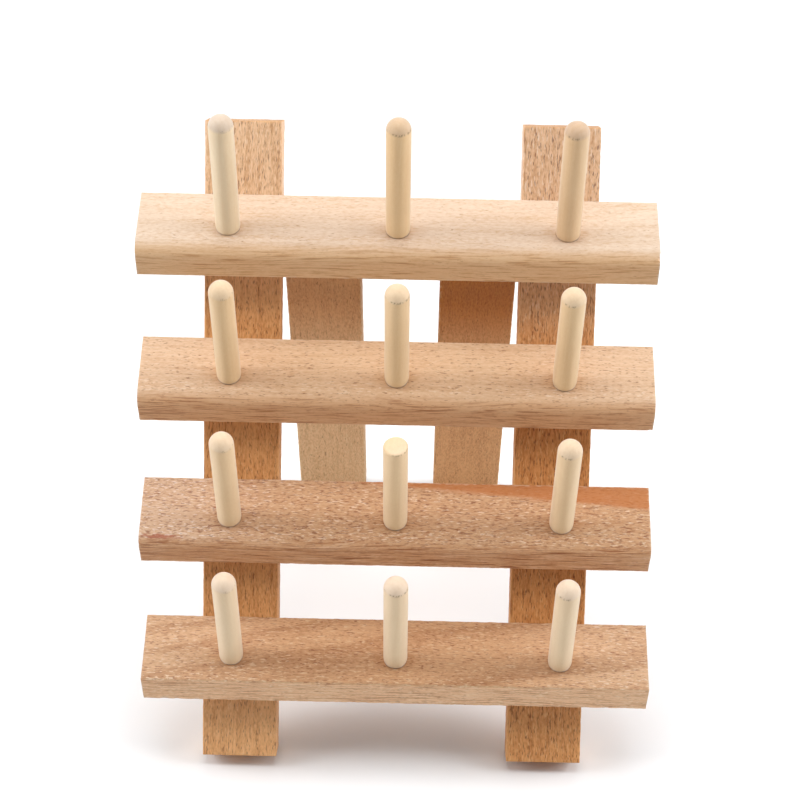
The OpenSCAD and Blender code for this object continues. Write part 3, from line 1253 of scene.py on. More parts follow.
def copies(shape: bmesh.types.BMesh, places: list[Matrix]) -> bmesh.types.BMesh:
    """Returns one shape with a copy of a piece at each place, and frees the piece.

    Args:
        shape: the piece.
        places: where the copies go.

    Returns:
        The new shape.
    """
    mesh = to_mesh(shape, "pattern")
    result = bmesh.new()
    for place in places:
        before = len(result.verts)
        result.from_mesh(mesh)
        result.verts.ensure_lookup_table()
        bmesh.ops.transform(result, verts=result.verts[before:], matrix=place)
    bpy.data.meshes.remove(mesh)
    return result


@dataclass
class Piece:
    """A finished piece of the object, on its body, with a slot name that nothing here applies."""

    name: str
    body: str
    slot: Slot
    nodes: tuple[str, ...]

    def finish(
        self, shape: bmesh.types.BMesh, place: Matrix, materials: list[bpy.types.Material],
        sharp: float = 30.0,
    ) -> None:
        """Turns a shape into the piece's object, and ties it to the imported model.

        Args:
            shape: the shape, in millimetres in its own frame.
            place: that frame.
            materials: its materials.
            sharp: the angle in degrees past which an edge looks sharp.
        """
        face_outwards(shape)
        moved(shape, TO_METRES @ place)
        for face in shape.faces:
            face.smooth = True
        mesh = to_mesh(shape, self.name)
        mesh.set_sharp_from_angle(angle=math.radians(sharp))
        for material in materials:
            mesh.materials.append(material)
        made = bpy.data.objects.new(self.name, mesh)
        bpy.context.scene.collection.objects.link(made)
        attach(made, self.body)
        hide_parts(*self.nodes)
        self.report(mesh)

    def report(self, mesh: bpy.types.Mesh) -> None:
        """Logs the piece, with how far its box is off from the box of its CAD node.

        Args:
            mesh: the finished mesh.
        """
        low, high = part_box(self.nodes[0])
        off = 0.0
        for axis in range(3):
            reach = [vert.co[axis] for vert in mesh.vertices]
            off = max(off, abs(min(reach) - low[axis]), abs(max(reach) - high[axis]))
        faces = len(mesh.polygons)
        log.info("%s: %d faces, on %s, box off by %.2f mm", self.name, faces, self.body, off / MM)


def paint_ends(shape: bmesh.types.BMesh, axis: int) -> None:
    """Gives the faces that cut across one axis the second material.

    Args:
        shape: the piece.
        axis: the axis.
    """
    shape.normal_update()
    for face in shape.faces:
        face.material_index = int(abs(face.normal[axis]) > 0.6)


@dataclass(frozen=True)
class ScrewSize:
    """The size of a countersunk wood screw in millimetres."""

    shank_d: float
    head_d: float
    length: float

    @property
    def sink(self) -> float:
        """How deep the head goes."""
        return (self.head_d - self.shank_d) / 2

    def hole(self, spare: float, head_spare: float, depth: float) -> bmesh.types.BMesh:
        """Returns the cutter of the screw's hole, along Z and with its rim at z = 0.

        Args:
            spare: how much wider than the shank it is, on the radius.
            head_spare: how much wider than the head it is, on the radius.
            depth: how deep it goes.

        Returns:
            The cutter.
        """
        shank, head = self.shank_d / 2 + spare, self.head_d / 2 + head_spare
        through = cone(shank, shank, -depth, 0.02 - self.sink)
        return combined(cone(shank, head, -self.sink, spare), [through], "UNION")


RAIL_SCREW = ScrewSize(shank_d=3.5, head_d=7.0, length=25.0)
LEAF_SCREW = ScrewSize(shank_d=2.2, head_d=4.2, length=8.0)


def leaf_screw_place(end: int, leaf: Leaf) -> Matrix:
    """Returns where the head of a leaf's screw lies, in the pin's frame, with its point towards -Z.

    Args:
        end: -1 for the left screw and 1 for the right one.
        leaf: which leaf of the hinge it holds.

    Returns:
        The screw's frame.
    """
    way = leaf.value
    place = (end * LAYOUT.leaf_screw_apart / 2, way * LAYOUT.leaf_gap / 2, LAYOUT.leaf_screw_up)
    return Matrix.Translation(place) @ Matrix.Rotation(math.radians(90 * way), 4, "X")


# Sub-assemblies


@dataclass(frozen=True)
class Stock:
    """A standing board's sizes in millimetres, and where it lies in its frame, with Z along it."""

    length: float
    width: float
    thick: float
    front: float
    middle_z: float

    @property
    def middle(self) -> Vector:
        """The board's middle."""
        return Vector((0, self.front + self.thick / 2, self.middle_z))

    @property
    def half(self) -> Vector:
        """Half of the board's length, width and thickness."""
        return Vector((self.length, self.width, self.thick)) / 2


@dataclass
class StandingBoards(ABC):
    """Boards that stand along Z in their own frame, one on each side of the rack."""

    effects: Effects
    looks: dict[Side, Beech]
    ease: float = 0.5
    end_ease: float = 0.25
    slice_step: float = 1.0
    face_dent: float = 0.05
    edge_dent: float = 0.22

    kind: ClassVar[str]
    slot: ClassVar[Slot]
    stock: ClassVar[Stock]
    middle_seed: ClassVar[float]

    def build(self) -> None:
        """Builds the board of each side."""
        for side in Side:
            self.build_board(side)

    def build_board(self, side: Side) -> None:
        """Builds one board: sawn, eased, worn, cut and dressed.

        Args:
            side: the board's side.
        """
        name = f"{word(side)}_{self.kind}"
        board = self.sawn()
        self.plane(board, self.middle_seed + side.value)
        board = combined(board, self.cutters(side), "DIFFERENCE")
        paint_ends(board, 2)
        place = self.place(side)
        bearings = Bearings.of_board(place, self.stock.middle, upright=True)
        materials = self.looks[side].materials(name, self.effects, bearings, self.stock.half)
        Piece(f"{name}_board", self.body(side), self.slot, (name,)).finish(board, place, materials)

    def plane(self, board: bmesh.types.BMesh, seed: float) -> None:
        """Eases a sawn board's edges, divides its faces and wears it.

        Args:
            board: the board.
            seed: which part of the noise wears it.
        """
        stock = self.stock
        soften(board, edges_along(board, 2), self.ease, 3)
        mark(board, 0, [stock.width / 2 * k / 6 for k in range(-5, 6)])
        mark(board, 1, [stock.front + stock.thick * k / 5 for k in range(1, 5)])
        soften(board, rim_edges(board, 2), self.end_ease, 2)
        slice_lengthways(board, 2, self.slice_step, stock.length / 2)
        wear(board, seed, self.face_dent, self.edge_dent, Vector((0.9, 0.9, 0.35)))

    @abstractmethod
    def sawn(self) -> bmesh.types.BMesh:
        """Returns the board with sharp edges."""

    @abstractmethod
    def cutters(self, side: Side) -> list[bmesh.types.BMesh]:
        """Returns what is cut out of one side's board."""

    @abstractmethod
    def place(self, side: Side) -> Matrix:
        """Returns the frame of one side's board."""

    @abstractmethod
    def body(self, side: Side) -> str:
        """Returns the body that one side's board rides on."""


@dataclass
class Uprights(StandingBoards):
    """The two uprights, with countersunk holes in their backs for the rail screws."""

    hole_spare: float = 0.08
    hole_depth: float = 4.0

    kind = "upright"
    slot = Slot.UPRIGHT
    stock = Stock(LAYOUT.upright_l, LAYOUT.upright_w, LAYOUT.upright_t, 0.0, LAYOUT.upright_l / 2)
    middle_seed = 1.0

    def sawn(self) -> bmesh.types.BMesh:
        """Returns the board with sharp edges."""
        half = self.stock.width / 2
        return block((-half, 0, 0), (half, self.stock.thick, self.stock.length))

    def cutters(self, side: Side) -> list[bmesh.types.BMesh]:
        """Returns the cutters of the countersunk holes, from the top down."""
        return [self.screw_hole(side, row) for row in Row]

    def screw_hole(self, side: Side, row: Row) -> bmesh.types.BMesh:
        """Returns the cutter of one countersunk hole, in the board's frame.

        Args:
            side: the upright's side.
            row: the rail behind which the hole lies.

        Returns:
            The cutter.
        """
        up = LAYOUT.rail_bottom(row) + LAYOUT.rail_screw_up
        place = Matrix.Translation((-side.value * LAYOUT.rail_screw_in, LAYOUT.upright_t, up))
        hole = RAIL_SCREW.hole(self.hole_spare, self.hole_spare, self.hole_depth)
        return moved(hole, place @ Matrix.Rotation(math.radians(-90), 4, "X"))

    def place(self, side: Side) -> Matrix:
        """Returns the frame of one side's upright."""
        return LAYOUT.on_uprights() @ Matrix.Translation((side.value * LAYOUT.upright_x, 0, 0))

    def body(self, side: Side) -> str:
        """Returns the rack's body."""
        return RACK_BODY


@dataclass
class Struts(StandingBoards):
    """The two struts, bevelled on top to lie against a closed hinge and grooved for its knuckles."""

    kind = "strut"
    slot = Slot.STRUT
    stock = Stock(LAYOUT.strut_l, LAYOUT.strut_w, LAYOUT.strut_t, -LAYOUT.pin_set, -LAYOUT.strut_l / 2)
    middle_seed = 20.0

    def sawn(self) -> bmesh.types.BMesh:
        """Returns the board with sharp edges and its bevelled top."""
        half, front, thick = self.stock.width / 2, self.stock.front, self.stock.thick
        angle = math.radians(LAYOUT.open_angle)
        top = thick / math.tan(angle)
        strut = block((-half, front, -self.stock.length), (half, front + thick, top))
        outward = Vector((0, -math.cos(angle), math.sin(angle)))
        trim(strut, -outward * LAYOUT.pin_y, outward)
        return strut

    def cutters(self, side: Side) -> list[bmesh.types.BMesh]:
        """Returns the cutter of the groove round the knuckles."""
        radius = LAYOUT.knuckle_d / 2 + LAYOUT.knuckle_clear
        groove = cone(radius, radius, -LAYOUT.strut_w, LAYOUT.strut_w, 64)
        return [moved(groove, Matrix.Rotation(math.pi / 2, 4, "Y"))]

    def place(self, side: Side) -> Matrix:
        """Returns the frame of one side's strut."""
        return LAYOUT.on_strut(side)

    def body(self, side: Side) -> str:
        """Returns the strut's own body."""
        return strut_body(side)


@dataclass(frozen=True)
class Chip:
    """A place where a rail is chipped: its middle and half sizes in the rail's frame."""

    middle: tuple[float, float, float]
    radii: tuple[float, float, float]


@dataclass
class Rails:
    """The four rails, each with three holes for pegs."""

    effects: Effects
    looks: dict[Row, Beech]
    chips: dict[Row, list[Chip]]
    edge_dent: dict[Row, float]
    face_dent: float = 0.05
    ease: float = 0.5
    fine_ease: float = 0.2
    slice_step: float = 0.8
    hole_gap: float = 0.05
    hole_depth: float = 11.0

    def build(self) -> None:
        """Builds the rails from the top down."""
        for row in Row:
            self.build_rail(row)

    def build_rail(self, row: Row) -> None:
        """Builds one rail.

        Args:
            row: the rail.
        """
        name = f"{word(row)}_rail"
        half = Vector((LAYOUT.rail_l, LAYOUT.rail_d, LAYOUT.rail_t)) / 2
        rail = self.planed(row)
        mark(rail, 1, [-LAYOUT.rail_d + LAYOUT.rail_d * k / 12 for k in range(1, 12)])
        mark(rail, 2, [-LAYOUT.rail_t * k / 5 for k in range(1, 5)])
        soften(rail, rim_edges(rail, 0), self.fine_ease, 2)
        slice_lengthways(rail, 0, self.slice_step, LAYOUT.rail_l / 2)
        wear(rail, 4.0 + row.value, self.face_dent, self.edge_dent[row], Vector((0.4, 0.9, 0.9)))
        chips = enumerate(self.chips.get(row, []))
        cutters = [self.peg_hole(place) for place in Place]
        cutters += [ball(chip.middle, chip.radii, 1.0 + k) for k, chip in chips]
        rail = combined(rail, cutters, "DIFFERENCE")
        paint_ends(rail, 0)
        place = LAYOUT.on_rail(row)
        bearings = Bearings.of_board(place, Vector((0, -half.y, -half.z)), upright=False)
        materials = self.looks[row].materials(name, self.effects, bearings, half)
        slot = Slot.PALE_RAIL if row is Row.TOP else Slot.RAIL
        Piece(f"{name}_board", RACK_BODY, slot, (name,)).finish(rail, place, materials)

    def planed(self, row: Row) -> bmesh.types.BMesh:
        """Returns a rail with its bevelled back, its rounded front and its eased long edges.

        Args:
            row: the rail.

        Returns:
            The rail, not yet divided.
        """
        half, depth, thick = LAYOUT.rail_l / 2, LAYOUT.rail_d, LAYOUT.rail_t
        tilt = math.radians(LAYOUT.rail_tilt[row.value])
        rail = block((-half, -depth, -thick), (half, 0, 0))
        trim(rail, Vector((0, 0, 0)), Vector((0, math.cos(tilt), -math.sin(tilt))))
        front_top = edges_along(rail, 0, lambda m: m.y < 1 - depth and m.z > -1)
        soften(rail, front_top, LAYOUT.rail_round[row.value], 10)
        front_low = edges_along(rail, 0, lambda m: m.y < 1 - depth and m.z < 1 - thick)
        soften(rail, front_low, self.ease, 3)
        backs = edges_along(
            rail, 0, lambda m: m.z > -0.01 and m.y > -1 or m.z < 0.01 - thick and m.y > 5 - depth
        )
        soften(rail, backs, self.fine_ease, 2)
        return rail

    def peg_hole(self, place: Place) -> bmesh.types.BMesh:
        """Returns the cutter of a peg's hole."""
        radius = LAYOUT.peg_seat_d / 2 + self.hole_gap
        cutter = cone(radius, radius, -self.hole_depth, 1.0)
        return moved(cutter, Matrix.Translation(LAYOUT.peg_foot(place)))


@dataclass
class Pegs:
    """The twelve pegs, domed but for one."""

    effects: Effects
    looks: dict[Row, PegWood]
    steps: int = 48
    swell: float = 1.5
    swell_rings: int = 5
    seat_ease: float = 0.3
    shaft_rings: int = 60
    dome_rings: int = 14
    dent: float = 0.04
    blunt: tuple[Row, Place] = (Row.LOWER, Place.MIDDLE)
    blunt_drop: float = 3.5
    blunt_ease: float = 1.1
    blunt_rings: int = 6
    blunt_slope: tuple[float, float] = (0.05, -0.06)

    def build(self) -> None:
        """Builds every peg."""
        for row in Row:
            material = self.looks[row].material(f"{word(row)}_pegs", self.effects, row)
            for place in Place:
                self.build_peg(row, place, material)

    def build_peg(self, row: Row, place: Place, material: bpy.types.Material) -> None:
        """Builds one peg.

        Args:
            row: its rail.
            place: its place on the rail.
            material: the row's peg material.
        """
        blunt = (row, place) == self.blunt
        peg = turned(self.shaft() + (self.blunt_tip() if blunt else self.round_tip()), self.steps)
        if blunt:
            self.slope_tip(peg)
        wear(peg, 10.0 + 3 * row.value + place.value, self.dent, self.dent, Vector((0.8, 0.8, 0.12)))
        name = f"{word(row)}_{word(place)}_peg"
        at = LAYOUT.on_rail(row) @ Matrix.Translation(LAYOUT.peg_foot(place))
        Piece(f"{name}_dowel", RACK_BODY, Slot.PEG, (name,)).finish(peg, at, [material])

    def shaft(self) -> list[tuple[float, float]]:
        """Returns the half outline of a peg from its seat in the rail up to its shoulder."""
        radius, seat, low = LAYOUT.peg_d / 2, LAYOUT.peg_seat_d / 2, -LAYOUT.peg_seat_l
        outline = [(0.0, low), (seat - self.seat_ease, low), (seat, low + self.seat_ease), (seat, 0.0)]
        for k in range(1, self.swell_rings + 1):
            out = (radius - seat) * math.sin(math.pi / 2 * k / self.swell_rings)
            outline.append((seat + out, self.swell * k / self.swell_rings))
        length = LAYOUT.peg_shoulder - self.swell
        for k in range(1, self.shaft_rings + 1):
            outline.append((radius, self.swell + length * k / self.shaft_rings))
        return outline

    def round_tip(self) -> list[tuple[float, float]]:
        """Returns the half outline of a domed tip."""
        radius = LAYOUT.peg_d / 2
        turns = [math.pi / 2 * k / self.dome_rings for k in range(1, self.dome_rings)]
        dome = [(radius * math.cos(t), LAYOUT.peg_shoulder + radius * math.sin(t)) for t in turns]
        return [*dome, (0.0, LAYOUT.peg_show)]

    def blunt_tip(self) -> list[tuple[float, float]]:
        """Returns the half outline of the one tip that is sawn flat and eased round its rim."""
        ease, top = self.blunt_ease, LAYOUT.peg_show - self.blunt_drop
        inner = LAYOUT.peg_d / 2 - ease
        turns = [math.pi / 2 * k / self.blunt_rings for k in range(self.blunt_rings + 1)]
        rim = [(inner + ease * math.cos(t), top - ease * (1 - math.sin(t))) for t in turns]
        return [*rim, (0.0, top)]

    def slope_tip(self, peg: bmesh.types.BMesh) -> None:
        """Slopes what lies above the shoulder, as a saw that wasn't quite square left it.

        Args:
            peg: the peg.
        """
        aside, back = self.blunt_slope
        for vert in peg.verts:
            if vert.co.z > LAYOUT.peg_shoulder:
                vert.co.z += aside * vert.co.x + back * vert.co.y


@dataclass
class Hinges:
    """The two butt hinges, closed while the struts are open: leaves with rolled knuckles, and pins."""

    effects: Effects
    steel: Steel
    pin_steel: Steel
    knuckles: int = 5
    corner: float = 1.5
    ease: float = 0.12
    seam: float = 0.12
    seam_turn: float = 40.0
    pin_head_d: float = 2.8
    pin_head_h: float = 0.6
    pin_clear: float = 0.05
    hole_spare: float = 0.06
    hole_depth: float = 3.0

    @property
    def half(self) -> float:
        """Half of the length of a hinge's leaves."""
        return (LAYOUT.hinge_l - LAYOUT.knuckle_gap) / 2

    @property
    def pitch(self) -> float:
        """The distance from one knuckle to the next."""
        return LAYOUT.hinge_l / self.knuckles

    def build(self) -> None:
        """Builds both hinges."""
        for side in Side:
            for leaf in Leaf:
                self.build_leaf(side, leaf)
            self.build_pin(side)

    def build_leaf(self, side: Side, leaf: Leaf) -> None:
        """Builds one leaf, with its share of the knuckles.

        Args:
            side: the hinge's side.
            leaf: which leaf of the hinge it is.
        """
        fixed = leaf is Leaf.FIXED
        front = -LAYOUT.pin_y if fixed else LAYOUT.leaf_gap / 2
        plate = block((-self.half, front, 0), (self.half, front + LAYOUT.leaf_t, LAYOUT.leaf_w))
        soften(plate, edges_along(plate, 1, lambda m: m.z > 1), self.corner, 6)
        rim = [e for e in rim_edges(plate, 1) if e.verts[0].co.z + e.verts[1].co.z > 1]
        soften(plate, rim, self.ease, 2)
        own = [k for k in range(self.knuckles) if (k % 2 == 0) == fixed]
        others = [k for k in range(self.knuckles) if (k % 2 == 0) != fixed]
        plate = combined(plate, [self.barrel(k, 0.0, 0.0) for k in own], "UNION")
        cutters = [self.barrel(k, LAYOUT.knuckle_clear, LAYOUT.knuckle_gap) for k in others]
        bore = LAYOUT.pin_d / 2 + (0 if fixed else self.pin_clear)
        cutters.append(moved(cone(bore, bore, -self.half - 1, self.half + 1), ALONG_X))
        cutters += [self.slit(k, leaf) for k in own]
        cutters += [self.screw_hole(end, leaf) for end in (-1, 1)]
        plate = combined(plate, cutters, "DIFFERENCE")
        place = LAYOUT.at_pin(side)
        name = f"{word(side)}_{word(leaf)}_leaf"
        material = self.steel.material(f"{name}_steel", self.effects, Bearings(place))
        piece = Piece(f"{name}_plate", leaf_body(side, leaf), Slot.HINGE, (name,))
        piece.finish(plate, place, [material], sharp=FITTING_SHARP)

    def middle(self, number: int) -> float:
        """Returns where a knuckle's middle lies, counted from the hinge's left end."""
        return (number + 0.5) * self.pitch - LAYOUT.hinge_l / 2

    def barrel(self, number: int, r_extra: float, end_extra: float) -> bmesh.types.BMesh:
        """Returns a knuckle as a solid barrel, grown by the given amounts.

        Args:
            number: the knuckle's number, from the hinge's left end.
            r_extra: how much larger its radius is.
            end_extra: how much longer it is at each end.

        Returns:
            The barrel.
        """
        length = self.pitch - LAYOUT.knuckle_gap + 2 * end_extra
        radius = LAYOUT.knuckle_d / 2 + r_extra
        shape = cone(radius, radius, -length / 2, length / 2)
        if not end_extra:
            soften(shape, rim_edges(shape, 2), self.ease, 2)
        return moved(shape, Matrix.Translation((self.middle(number), 0, 0)) @ ALONG_X)

    def slit(self, number: int, leaf: Leaf) -> bmesh.types.BMesh:
        """Returns the cutter of the seam where a knuckle's roll comes back to its plate.

        Args:
            number: the knuckle's number, from the hinge's left end.
            leaf: the leaf that the knuckle belongs to.

        Returns:
            The cutter.
        """
        middle, reach, half = self.middle(number), self.pitch / 2, self.seam / 2
        cutter = block((middle - reach, -half, 0.5), (middle + reach, half, LAYOUT.knuckle_d))
        return moved(cutter, Matrix.Rotation(math.radians(leaf.value * self.seam_turn), 4, "X"))

    def screw_hole(self, end: int, leaf: Leaf) -> bmesh.types.BMesh:
        """Returns the cutter of one of a leaf's two countersunk holes, in the pin's frame."""
        hole = LEAF_SCREW.hole(self.hole_spare, 2 * self.hole_spare, self.hole_depth)
        return moved(hole, leaf_screw_place(end, leaf))

    def build_pin(self, side: Side) -> None:
        """Builds a hinge pin, with a low head at each end.

        Args:
            side: the hinge's side.
        """
        radius, head, end = LAYOUT.pin_d / 2, self.pin_head_d / 2, self.half + self.pin_head_h
        outline = [(0, -end), (0.7 * radius, -end), (radius, 0.2 - end), (head, -self.half)]
        outline.append((radius, -self.half))
        outline += [(r, -z) for r, z in reversed(outline)]
        pin = moved(turned(outline, 40), ALONG_X)
        place = LAYOUT.at_pin(side)
        name = f"{word(side)}_hinge_pin"
        material = self.pin_steel.material(f"{name}_steel", self.effects, Bearings(place))
        Piece(f"{name}_rod", RACK_BODY, Slot.PIN, (name,)).finish(pin, place, [material])


@dataclass
class Screws:
    """The countersunk wood screws of the rails and of the hinges, with a cross recess in each head."""

    effects: Effects
    steel: Steel

    def build(self) -> None:
        """Builds the screws, as one piece for each set."""
        for side in Side:
            places = [self.rail_screw_place(side, row) for row in Row]
            name = f"{word(side)}_rail_screws"
            self.build_set(name, RAIL_SCREW, LAYOUT.on_uprights(), places, RACK_BODY)
            for leaf in Leaf:
                slant = int(leaf is Leaf.FIXED)
                places = [
                    leaf_screw_place(end, leaf) @ Matrix.Rotation(0.7 * end + slant, 4, "Z")
                    for end in (-1, 1)
                ]
                name = f"{word(side)}_{word(leaf)}_leaf_screws"
                self.build_set(name, LEAF_SCREW, LAYOUT.at_pin(side), places, leaf_body(side, leaf))

    def rail_screw_place(self, side: Side, row: Row) -> Matrix:
        """Returns where the head of a rail's screw lies, in the uprights' frame.

        Args:
            side: the upright that the screw goes through.
            row: the rail that it holds.

        Returns:
            The screw's frame, with its point towards -Z.
        """
        up = LAYOUT.rail_bottom(row) + LAYOUT.rail_screw_up
        across = side.value * (LAYOUT.upright_x - LAYOUT.rail_screw_in)
        turn = Matrix.Rotation(0.9 * row.value + side.value, 4, "Z")
        facing = Matrix.Rotation(math.radians(-90), 4, "X")
        return Matrix.Translation((across, LAYOUT.upright_t, up)) @ (facing @ turn)

    def build_set(
        self, name: str, size: ScrewSize, frame_of_set: Matrix, places: list[Matrix], body: str
    ) -> None:
        """Builds one set of screws.

        Args:
            name: the name of the set's CAD node.
            size: the screws' size.
            frame_of_set: the frame that the places are in.
            places: where each screw's head lies, with its point towards -Z.
            body: the body that carries them.
        """
        shapes = copies(self.screw(size), places)
        material = self.steel.material(f"{name}_steel", self.effects, Bearings(frame_of_set))
        piece = Piece(f"{name}_set", body, Slot.SCREW, (name,))
        piece.finish(shapes, frame_of_set, [material], sharp=FITTING_SHARP)

    def screw(self, size: ScrewSize) -> bmesh.types.BMesh:
        """Returns one screw, its head flush with z = 0.

        Args:
            size: the screw's size.

        Returns:
            The screw, along Z.
        """
        shank, head, tip = size.shank_d / 2, size.head_d / 2, 0.25 * size.length
        core, pitch = 0.36 * size.shank_d, 0.42 * size.shank_d
        turns = int((size.length - size.sink - tip) * 0.75 / pitch)
        outline = [(0, -size.length), (0.06 * size.shank_d, -size.length), (core, tip - size.length)]
        for k in range(turns):
            low = tip - size.length + k * pitch
            outline += [(core, low + 0.2 * pitch), (shank, low + 0.5 * pitch), (core, low + 0.8 * pitch)]
        outline += [(shank, tip - size.length + turns * pitch), (shank, -size.sink)]
        outline += [(head, -0.05 * size.head_d / 2), (0.96 * size.head_d / 2, 0), (0, 0)]
        recess = [self.blade(size.head_d, angle) for angle in (0, math.pi / 2)]
        return combined(turned(outline, 32), recess, "DIFFERENCE")

    def blade(self, head_d: float, angle: float) -> bmesh.types.BMesh:
        """Returns one tapered arm of the cross recess's cutter.

        Args:
            head_d: the screw head's diameter.
            angle: how far the arm is turned round Z.

        Returns:
            The arm.
        """
        wide, thin, deep = 0.27 * head_d, 0.055 * head_d, 0.32 * head_d
        arm = block((-wide, -thin, -deep), (wide, thin, 0.1))
        for vert in arm.verts:
            if vert.co.z < 0:
                vert.co.x *= 0.3
                vert.co.y *= 0.6
        return moved(arm, Matrix.Rotation(angle, 4, "Z"))


# The setting


@dataclass(frozen=True)
class Softbox:
    """A soft studio lamp: where it stands, how large it is and how strong, in metres and watts."""

    name: str
    place: tuple[float, float, float]
    size: tuple[float, float]
    power: float

    def light(self, target: Vector) -> None:
        """Hangs the lamp and turns it to the target.

        Args:
            target: the point that it lights.
        """
        data = bpy.data.lights.new(self.name, "AREA")
        data.shape = "RECTANGLE"
        data.size, data.size_y = self.size
        data.energy = self.power
        made = bpy.data.objects.new(self.name, data)
        made.location = self.place
        made.rotation_euler = (target - Vector(self.place)).to_track_quat("-Z", "Y").to_euler()
        bpy.context.scene.collection.objects.link(made)


@dataclass
class Studio:
    """The pale floor, the soft light and the camera at the photograph's angle."""

    floor_size: float = 6.0
    floor_white: float = 0.8
    floor_seen: Colour = (0.95, 0.975, 1.0, 1.0)
    floor_rough: float = 0.9
    world_light: float = 0.19
    world_glossy: float = 0.8
    lamps: tuple[Softbox, ...] = (
        Softbox("left_softbox", (-1.3, -0.1, 0.9), (0.7, 1.0), 15.4),
        Softbox("right_softbox", (1.3, -0.1, 0.9), (0.7, 1.0), 15.4),
        Softbox("back_softbox", (0.0, 0.9, 1.5), (1.4, 0.8), 8.0),
        Softbox("top_softbox", (0.0, -0.2, 1.5), (0.9, 0.6), 8.2),
    )
    aim: tuple[float, float, float] = (0.00061, 0.0, 0.12193)
    distance: float = 0.9045
    elevation: float = 37.08
    azimuth: float = -0.61
    roll: float = 0.83
    lens: float = 100.21

    def build(self) -> None:
        """Sets up the floor, the light, the camera and the view."""
        self.lay_floor()
        self.light_world()
        for lamp in self.lamps:
            lamp.light(Vector(self.aim))
        self.place_camera()
        bpy.context.scene.view_settings.view_transform = "Standard"

    def lay_floor(self) -> None:
        """Lays the floor, a little whiter to the camera than to the light that it sends back."""
        shape = bmesh.new()
        bmesh.ops.create_grid(shape, x_segments=8, y_segments=8, size=self.floor_size / 2)
        made = bpy.data.objects.new("floor", to_mesh(shape, "floor"))
        skin = Skin("floor_paper")
        w, inputs = skin.wiring, skin.shader.inputs
        seen = w.node("LightPath").outputs["Is Camera Ray"]
        plain = (self.floor_white, self.floor_white, self.floor_white, 1.0)
        w.feed(inputs["Base Color"], w.mix(seen, plain, self.floor_seen))
        inputs["Roughness"].default_value = self.floor_rough
        made.data.materials.append(skin.material)
        bpy.context.scene.collection.objects.link(made)

    def light_world(self) -> None:
        """Lights the scene evenly from all round, in front of a white backdrop."""
        world = bpy.data.worlds.new("studio")
        world.use_nodes = True
        w = Wiring(world.node_tree)
        path = w.node("LightPath").outputs
        seen = w.math("MAXIMUM", path["Is Camera Ray"], path["Is Transmission Ray"])
        seen = w.math("MAXIMUM", seen, w.times(path["Is Glossy Ray"], self.world_glossy))
        strength = w.math("MAXIMUM", seen, self.world_light)
        background = world.node_tree.nodes["Background"]
        background.inputs["Color"].default_value = (1.0, 1.0, 1.0, 1.0)
        w.feed(background.inputs["Strength"], strength)
        bpy.context.scene.world = world

    def place_camera(self) -> None:
        """Places the camera, looking down at the front of the rack."""
        data = bpy.data.cameras.new("camera")
        data.lens = self.lens
        made = bpy.data.objects.new("camera", data)
        up, across = math.radians(self.elevation), math.radians(self.azimuth)
        back = Vector((-math.sin(across) * math.cos(up), -math.cos(across) * math.cos(up), math.sin(up)))
        made.location = Vector(self.aim) + self.distance * back
        look = (-back).to_track_quat("-Z", "Y").to_matrix()
        made.rotation_euler = (look @ Matrix.Rotation(math.radians(self.roll), 3, "Z")).to_euler()
        bpy.context.scene.collection.objects.link(made)
        bpy.context.scene.camera = made


# The looks of this rack's own boards and pegs


# On each rail, painted_peg_shadow paints soft shadows beside the pegs, glints paint highlights along the
# ridge behind the front, and the front tint is partly painted shade and light
RAIL_LOOKS = {
    Row.TOP: Beech(
        light="#DCC3AC", dark="#C7A380", fleck="#A07350", edge="#DFCBB8",
        pith=(0.02, 30.0, -60.0), seed=1.0, rings=0.12, streaks=0.9, fibre=1.6,
        flecks=0.15, nicks=0.35, lines=0.6, glints=0.6, painted_peg_shadow=0.7,
        front=(1.08, 0.93, 0.7), front_reach=5.5, tips=(1.02, 1.05, 1.07),
    ),
    Row.UPPER: Beech(
        light="#DEBB97", dark="#C4966E", fleck="#8C5736", edge="#E2C6A8",
        pith=(0.01, 90.0, -20.0), seed=2.0, rings=0.12,
        flecks=0.4, lines=0.75, glints=0.8, painted_peg_shadow=0.7,
        front=(0.93, 0.79, 0.67), front_reach=5.0, tips=(1.03, 1.07, 1.15),
    ),
    Row.LOWER: Beech(
        light="#CCA37D", dark="#B27D53", fleck="#7C4228", edge="#DFC3A7",
        pith=(0.02, 60.0, -30.0), seed=3.0, rings=0.12, fibre=1.8, relief=0.08,
        flecks=0.7, nicks=1.0, lines=1.0, glints=1.4, painted_peg_shadow=0.7,
        front=(1.07, 0.97, 0.89), front_reach=3.5, tips=(1.1, 1.24, 1.5), tip_right=0.0,
        patch=(-92.0, -12.3, 7.5), sapwood=(12.9, 0.088),
    ),
    Row.BOTTOM: Beech(
        light="#CDA077", dark="#A87750", fleck="#7E452A", edge="#D4B390",
        pith=(0.2, -8.0, -24.0), seed=4.0, rings=0.38, ring_width=7.0, fibre=1.5, relief=0.05,
        flecks=0.5, nicks=0.9, lines=0.6, glints=1.0, painted_peg_shadow=0.7,
        front=(1.42, 1.58, 1.78), front_reach=0.5, tips=(1.16, 1.29, 1.49),
    ),
}
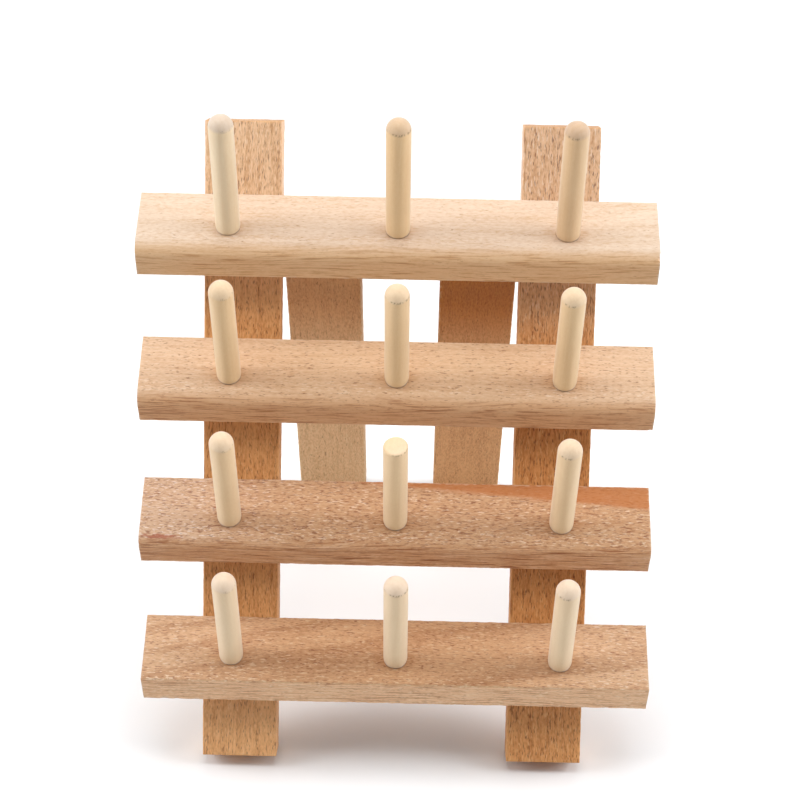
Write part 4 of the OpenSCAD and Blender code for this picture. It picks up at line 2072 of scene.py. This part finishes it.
# Each upright's crown_shading and foot paint light on its upper and lower ends, and its flank tint paints
# light on its side faces
UPRIGHT_LOOKS = {
    Side.LEFT: Beech(
        light="#DDA167", dark="#B67640", fleck="#6E3A20", edge="#E0AA73",
        pith=(0.0, 20.0, -40.0), seed=5.0, rings=0.2, streaks=1.0, fibre=1.8,
        flecks=0.5, fleck_length=3.4, nicks=0.85, flank=(1.25, 1.35, 1.5),
        crown_shading=(1.17, 1.59, 2.6), crown_from=42.0, crown_reach=58.0, foot=(1.2, 1.35, 1.6),
    ),
    Side.RIGHT: Beech(
        light="#D49458", dark="#B06C36", fleck="#5E2C16", edge="#D7A068",
        pith=(0.0, -30.0, -25.0), seed=6.0, rings=0.2, streaks=1.0, fibre=1.8,
        flecks=0.6, fleck_length=3.4, nicks=1.1, flank=(1.25, 1.35, 1.5),
        crown_shading=(1.17, 1.72, 3.3), crown_from=33.0, crown_reach=52.0, foot=(1.12, 1.2, 1.35),
    ),
}
# Each strut's crown_shading paints the shade that the rails cast on its upper part
STRUT_LOOKS = {
    Side.LEFT: Beech(
        light="#E7C092", dark="#C29768", fleck="#906440", edge="#E7CEA3",
        pith=(0.0, 60.0, -20.0), seed=7.0, rings=0.1, fibre=1.8, flecks=0.25, fleck_length=4.0,
        crown_shading=(0.8, 0.66, 0.5), crown_from=20.0, crown_reach=50.0,
    ),
    Side.RIGHT: Beech(
        light="#DFAA74", dark="#B8814F", fleck="#85562B", edge="#E3BA85",
        pith=(0.0, 15.0, -50.0), seed=8.0, rings=0.1, fibre=1.8, flecks=0.2, fleck_length=4.0,
        crown_shading=(0.68, 0.45, 0.1), crown_from=20.0, crown_reach=50.0,
    ),
}
# The dome tints paint light and shade on the pegs' domes, and the top row's left tint paints light on its
# left peg
PEG_LOOKS = {
    Row.TOP: PegWood(
        "#F0CF9E", "#E1B77E", dome=(0.79, 0.8, 0.95), left=(1.03, 1.16, 1.42), right=(0.94, 0.92, 0.95)
    ),
    Row.UPPER: PegWood("#EDCC9A", "#DEB47B", dome=(0.97, 1.04, 1.3)),
    Row.LOWER: PegWood("#EFD1A2", "#E1BA87", dome=(0.97, 1.03, 1.28)),
    Row.BOTTOM: PegWood("#EED4AC", "#E1BF91", dome=(0.96, 1.0, 1.22)),
}
LEAF_STEEL = Steel("#C9CACB", "#A9ABAD", 0.22)
PIN_STEEL = Steel("#BDBFC1", "#9C9EA0", 0.25)
SCREW_STEEL = Steel("#C8C6BE", "#A8A59A", 0.25)
RAIL_CHIPS = {
    Row.TOP: [Chip((100.2, -27.5, -2.0), (1.2, 2.2, 1.4))],
    Row.UPPER: [Chip((99.5, -30.3, -14.6), (2.2, 1.0, 0.8))],
    Row.LOWER: [Chip((-97.0, -30.2, -3.0), (3.5, 0.8, 1.2))],
}
RAIL_EDGE_DENT = {Row.TOP: 0.12, Row.UPPER: 0.15, Row.LOWER: 0.22, Row.BOTTOM: 0.4}


def main() -> None:
    """Builds the rack and its setting."""
    logging.basicConfig(level=logging.INFO, format="%(name)s: %(message)s")
    effects = Effects()
    Uprights(effects, UPRIGHT_LOOKS).build()
    Rails(effects, RAIL_LOOKS, RAIL_CHIPS, RAIL_EDGE_DENT).build()
    Pegs(effects, PEG_LOOKS).build()
    Struts(effects, STRUT_LOOKS).build()
    Hinges(effects, LEAF_STEEL, PIN_STEEL).build()
    Screws(effects, SCREW_STEEL).build()
    Studio().build()


if __name__ == "__main__":
    main()
